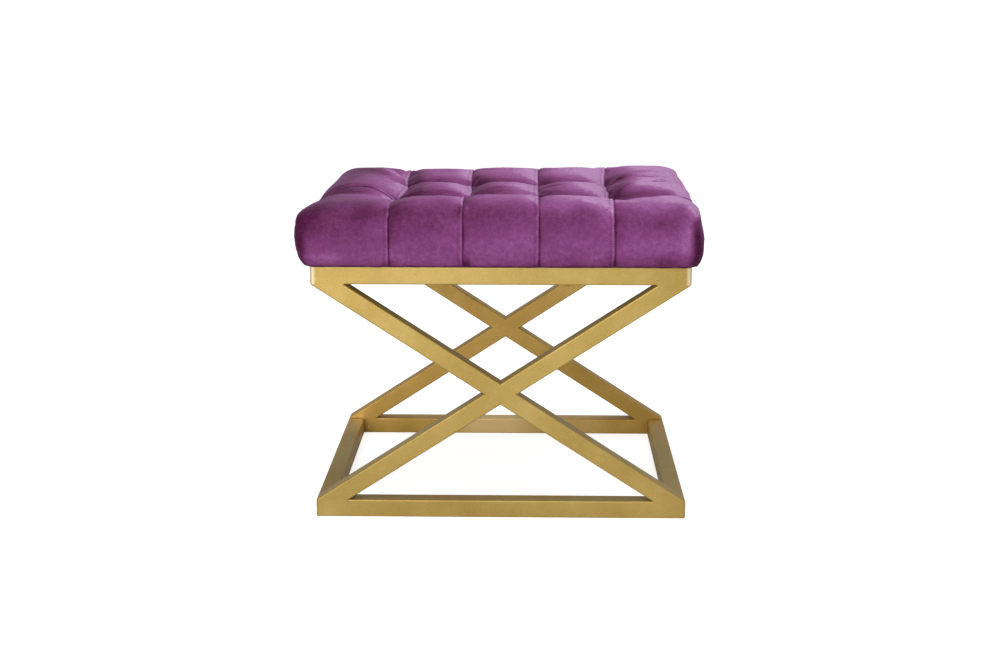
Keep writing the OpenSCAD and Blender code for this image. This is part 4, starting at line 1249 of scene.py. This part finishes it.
def taut_sheet(name, low, high, fall, ragged, material, step=0.004):
    """A grid between two corners, in the middle of their height. fall(x, y) is how far it hangs below that.
    Its outer lines wander sideways by ragged times a sum of two sines."""
    nx, ny = (max(4, round((high[k] - low[k]) / step)) for k in range(2))
    x, y = np.meshgrid(np.linspace(low[0], high[0], nx + 1), np.linspace(low[1], high[1], ny + 1))
    z = (low[2] + high[2]) / 2 - fall(x, y)

    def wander(v):
        """How far an outer line strays at the place v along it."""
        return ragged * (np.sin(v * 90 + 1.1) + 0.5 * np.sin(v * 233))

    x[:, [0, -1]] += wander(y[:, [0, -1]])
    y[[0, -1], :] += wander(x[[0, -1], :] + 0.3)
    points = np.stack([x, y, z], -1).reshape(-1, 3)
    sheet = new_piece(name, points, grid_quads(nx, ny)[1], material)
    thicken(sheet, CLOTH_T, 0)
    return sheet


def strip_fall(x, y):
    """Faint waves: the product of two sines."""
    return 0.00015 * np.sin(x * 70) * np.sin(y * 60)


def felt_fall(x, y):
    """Hangs in the middle, with a scallop between each two staples that fades away from the edge."""
    u, v = (1 - np.abs(x) / dust_high.x).clip(0, 1), (1 - np.abs(y) / dust_high.y).clip(0, 1)
    middle = SAG * eased(u * 1.6) * eased(v * 1.6)
    edge = np.minimum(dust_high.x - np.abs(x), dust_high.y - np.abs(y))
    along = np.where(dust_high.x - np.abs(x) < dust_high.y - np.abs(y), y, x)
    scallop = SCALLOP * np.sin(along * math.pi / STAPLE_EVERY) ** 2 * bell(edge - STAPLE_IN, 0.03)
    wrinkle = WRINKLE * np.sin(x * 60 + 3 * np.sin(y * 14)) * eased(u * 2) * eased(v * 2)
    return middle + scallop * eased((edge - STAPLE_IN + 0.004) / 0.012) + wrinkle


# %% Pull the calico and the felt taut
CALICO, FELT = calico(), dust_felt()
for side in ("front", "rear", "left", "right"):
    low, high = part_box(f"{side}_pull_strip")
    strip = taut_sheet(f"{side}_calico_strip", low, high, strip_fall, RAGGED_CALICO, CALICO)
    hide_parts(f"{side}_pull_strip")

felt = taut_sheet("black_dust_felt", dust_low, dust_high, felt_fall, RAGGED_FELT, FELT)
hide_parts("dust_cover")

# %% [markdown]
# ## Weld pips
# The joints were ground flush, but a few small drops of weld stand on the front frame under the paint. Each
# is a low dome.

# %% Put the drops of weld on the front frame
PIPS = np.array([[-222.6, 15.0, 1.5], [-214.8, 12.7, 1.1], [204.5, 12.3, 1.3], [229.8, 9.8, 1.4],
                 [211.4, 340.5, 1.4], [-234.6, 337.5, 1.0], [-181.5, 131.0, 1.1]]) / 1000  # x, z and radius
PIP_LIFT, PIP_SUNK = 0.55, 0.0002  # height as a share of the radius, and how deep its rim lies in the paint


def domes(places, y, turns=12, rings=4):
    """Rings of a flattened half ball round each place, standing out towards -Y."""
    lift = np.linspace(0, 1, rings + 1)[:-1] * math.pi / 2
    turn = np.arange(turns) * 2 * math.pi / turns
    r = places[:, 2][:, None, None]
    x = places[:, 0][:, None, None] + r * np.cos(lift)[:, None] * np.cos(turn)
    z = places[:, 1][:, None, None] + r * np.cos(lift)[:, None] * np.sin(turn)
    out = y - PIP_LIFT * r * np.sin(lift)[:, None] * np.ones(turns) + PIP_SUNK
    body = np.stack([x, out, z], -1)
    tips = np.stack([places[:, 0], y - PIP_LIFT * places[:, 2], places[:, 1]], -1)
    base = (np.arange(len(places)) * rings * turns)[:, None, None]
    row, k, n = np.arange(rings - 1)[:, None] * turns, np.arange(turns), (np.arange(turns) + 1) % turns
    walls = np.stack([base + row + k, base + row + n, base + row + turns + n, base + row + turns + k], -1)
    tip = len(places) * rings * turns + np.arange(len(places))[:, None]
    last = (base[:, 0] + (rings - 1) * turns)
    pairs = np.arange(0, turns, 2)
    caps = np.stack([last + pairs, last + pairs + 1, last + (pairs + 2) % turns,
                     np.broadcast_to(tip, (len(places), len(pairs)))], -1)
    faces = np.concatenate([walls.reshape(-1, 4), caps.reshape(-1, 4)])
    return np.concatenate([body.reshape(-1, 3), tips]), faces


pip_points, pip_faces = domes(PIPS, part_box("front_top_rail")[0].y)
new_piece("weld_pips", pip_points, pip_faces, GOLD)

# %% [markdown]
# ## Floor and light
# A plain studio: a white floor, a broad soft lamp at the front left, a weaker one above, one behind, a
# faint fill from the right, and a pale world. The floor could be left out, but then the pouf would have no
# shadow to stand on.

# %% Build the floor and the lights
CAMERA_GLOW, WORLD_LIGHT, FLOOR_HALF = 0.72, 0.38, 30.0
LAMP_AIM = (0, 0, 0.25)
# Place, size and watts of each square lamp
LAMPS = {"key": ((-1.05, -4.4, 1.15), 2.0, 97), "top": ((-0.3, -0.7, 2.1), 1.5, 14),
         "rear": ((0.4, 0.9, 2.2), 1.5, 13), "fill": ((2.1, -1.5, 1.0), 1.6, 4)}


def stage_material():
    """A pale matt floor, with a glow for the camera alone, so that it shows white but keeps its shadow."""
    white = new_material("studio_white", Base_Color=(0.80, 0.80, 0.80, 1), Roughness=0.9,
                         Emission_Color=(1, 1, 1, 1))
    rays = add(white, "ShaderNodeLightPath").outputs["Is Camera Ray"]
    return finish_with(white, Emission_Strength=math_node(white, "MULTIPLY", rays, CAMERA_GLOW))


def studio_floor(half):
    """One large square on the floor."""
    mesh = bpy.data.meshes.new("studio_floor")
    corners = [(x * half, y * half, 0) for x, y in ((-1, -1), (1, -1), (1, 1), (-1, 1))]
    mesh.from_pydata(corners, [], [(0, 1, 2, 3)])
    mesh.materials.append(stage_material())
    floor = linked("studio_floor", mesh)


def soft_lamp(name, place, size, watts):
    """A square area lamp that looks at the pouf."""
    data = bpy.data.lights.new(name, "AREA")
    data.size, data.energy = size, watts
    lamp = linked(name, data)
    lamp.location = place
    lamp.rotation_euler = (Vector(place) - Vector(LAMP_AIM)).to_track_quat("Z", "Y").to_euler()


def studio_world(strength):
    """Plain light for the object, and white where the camera sees the world."""
    world = bpy.data.worlds.new("studio")
    bpy.context.scene.world = world
    world.use_nodes = True
    tree = world.node_tree
    rays = tree.nodes.new("ShaderNodeLightPath")
    level = tree.nodes.new("ShaderNodeMapRange")
    level.inputs["To Min"].default_value, level.inputs["To Max"].default_value = strength, 1.0
    tree.links.new(rays.outputs["Is Camera Ray"], level.inputs["Value"])
    tree.links.new(level.outputs["Result"], tree.nodes["Background"].inputs["Strength"])
    tree.nodes["Background"].inputs["Color"].default_value = (1, 1, 1, 1)


studio_floor(FLOOR_HALF)
studio_world(WORLD_LIGHT)
for name, (place, size, watts) in LAMPS.items():
    soft_lamp(name, place, size, watts)
bpy.context.scene.view_settings.view_transform = "Standard"
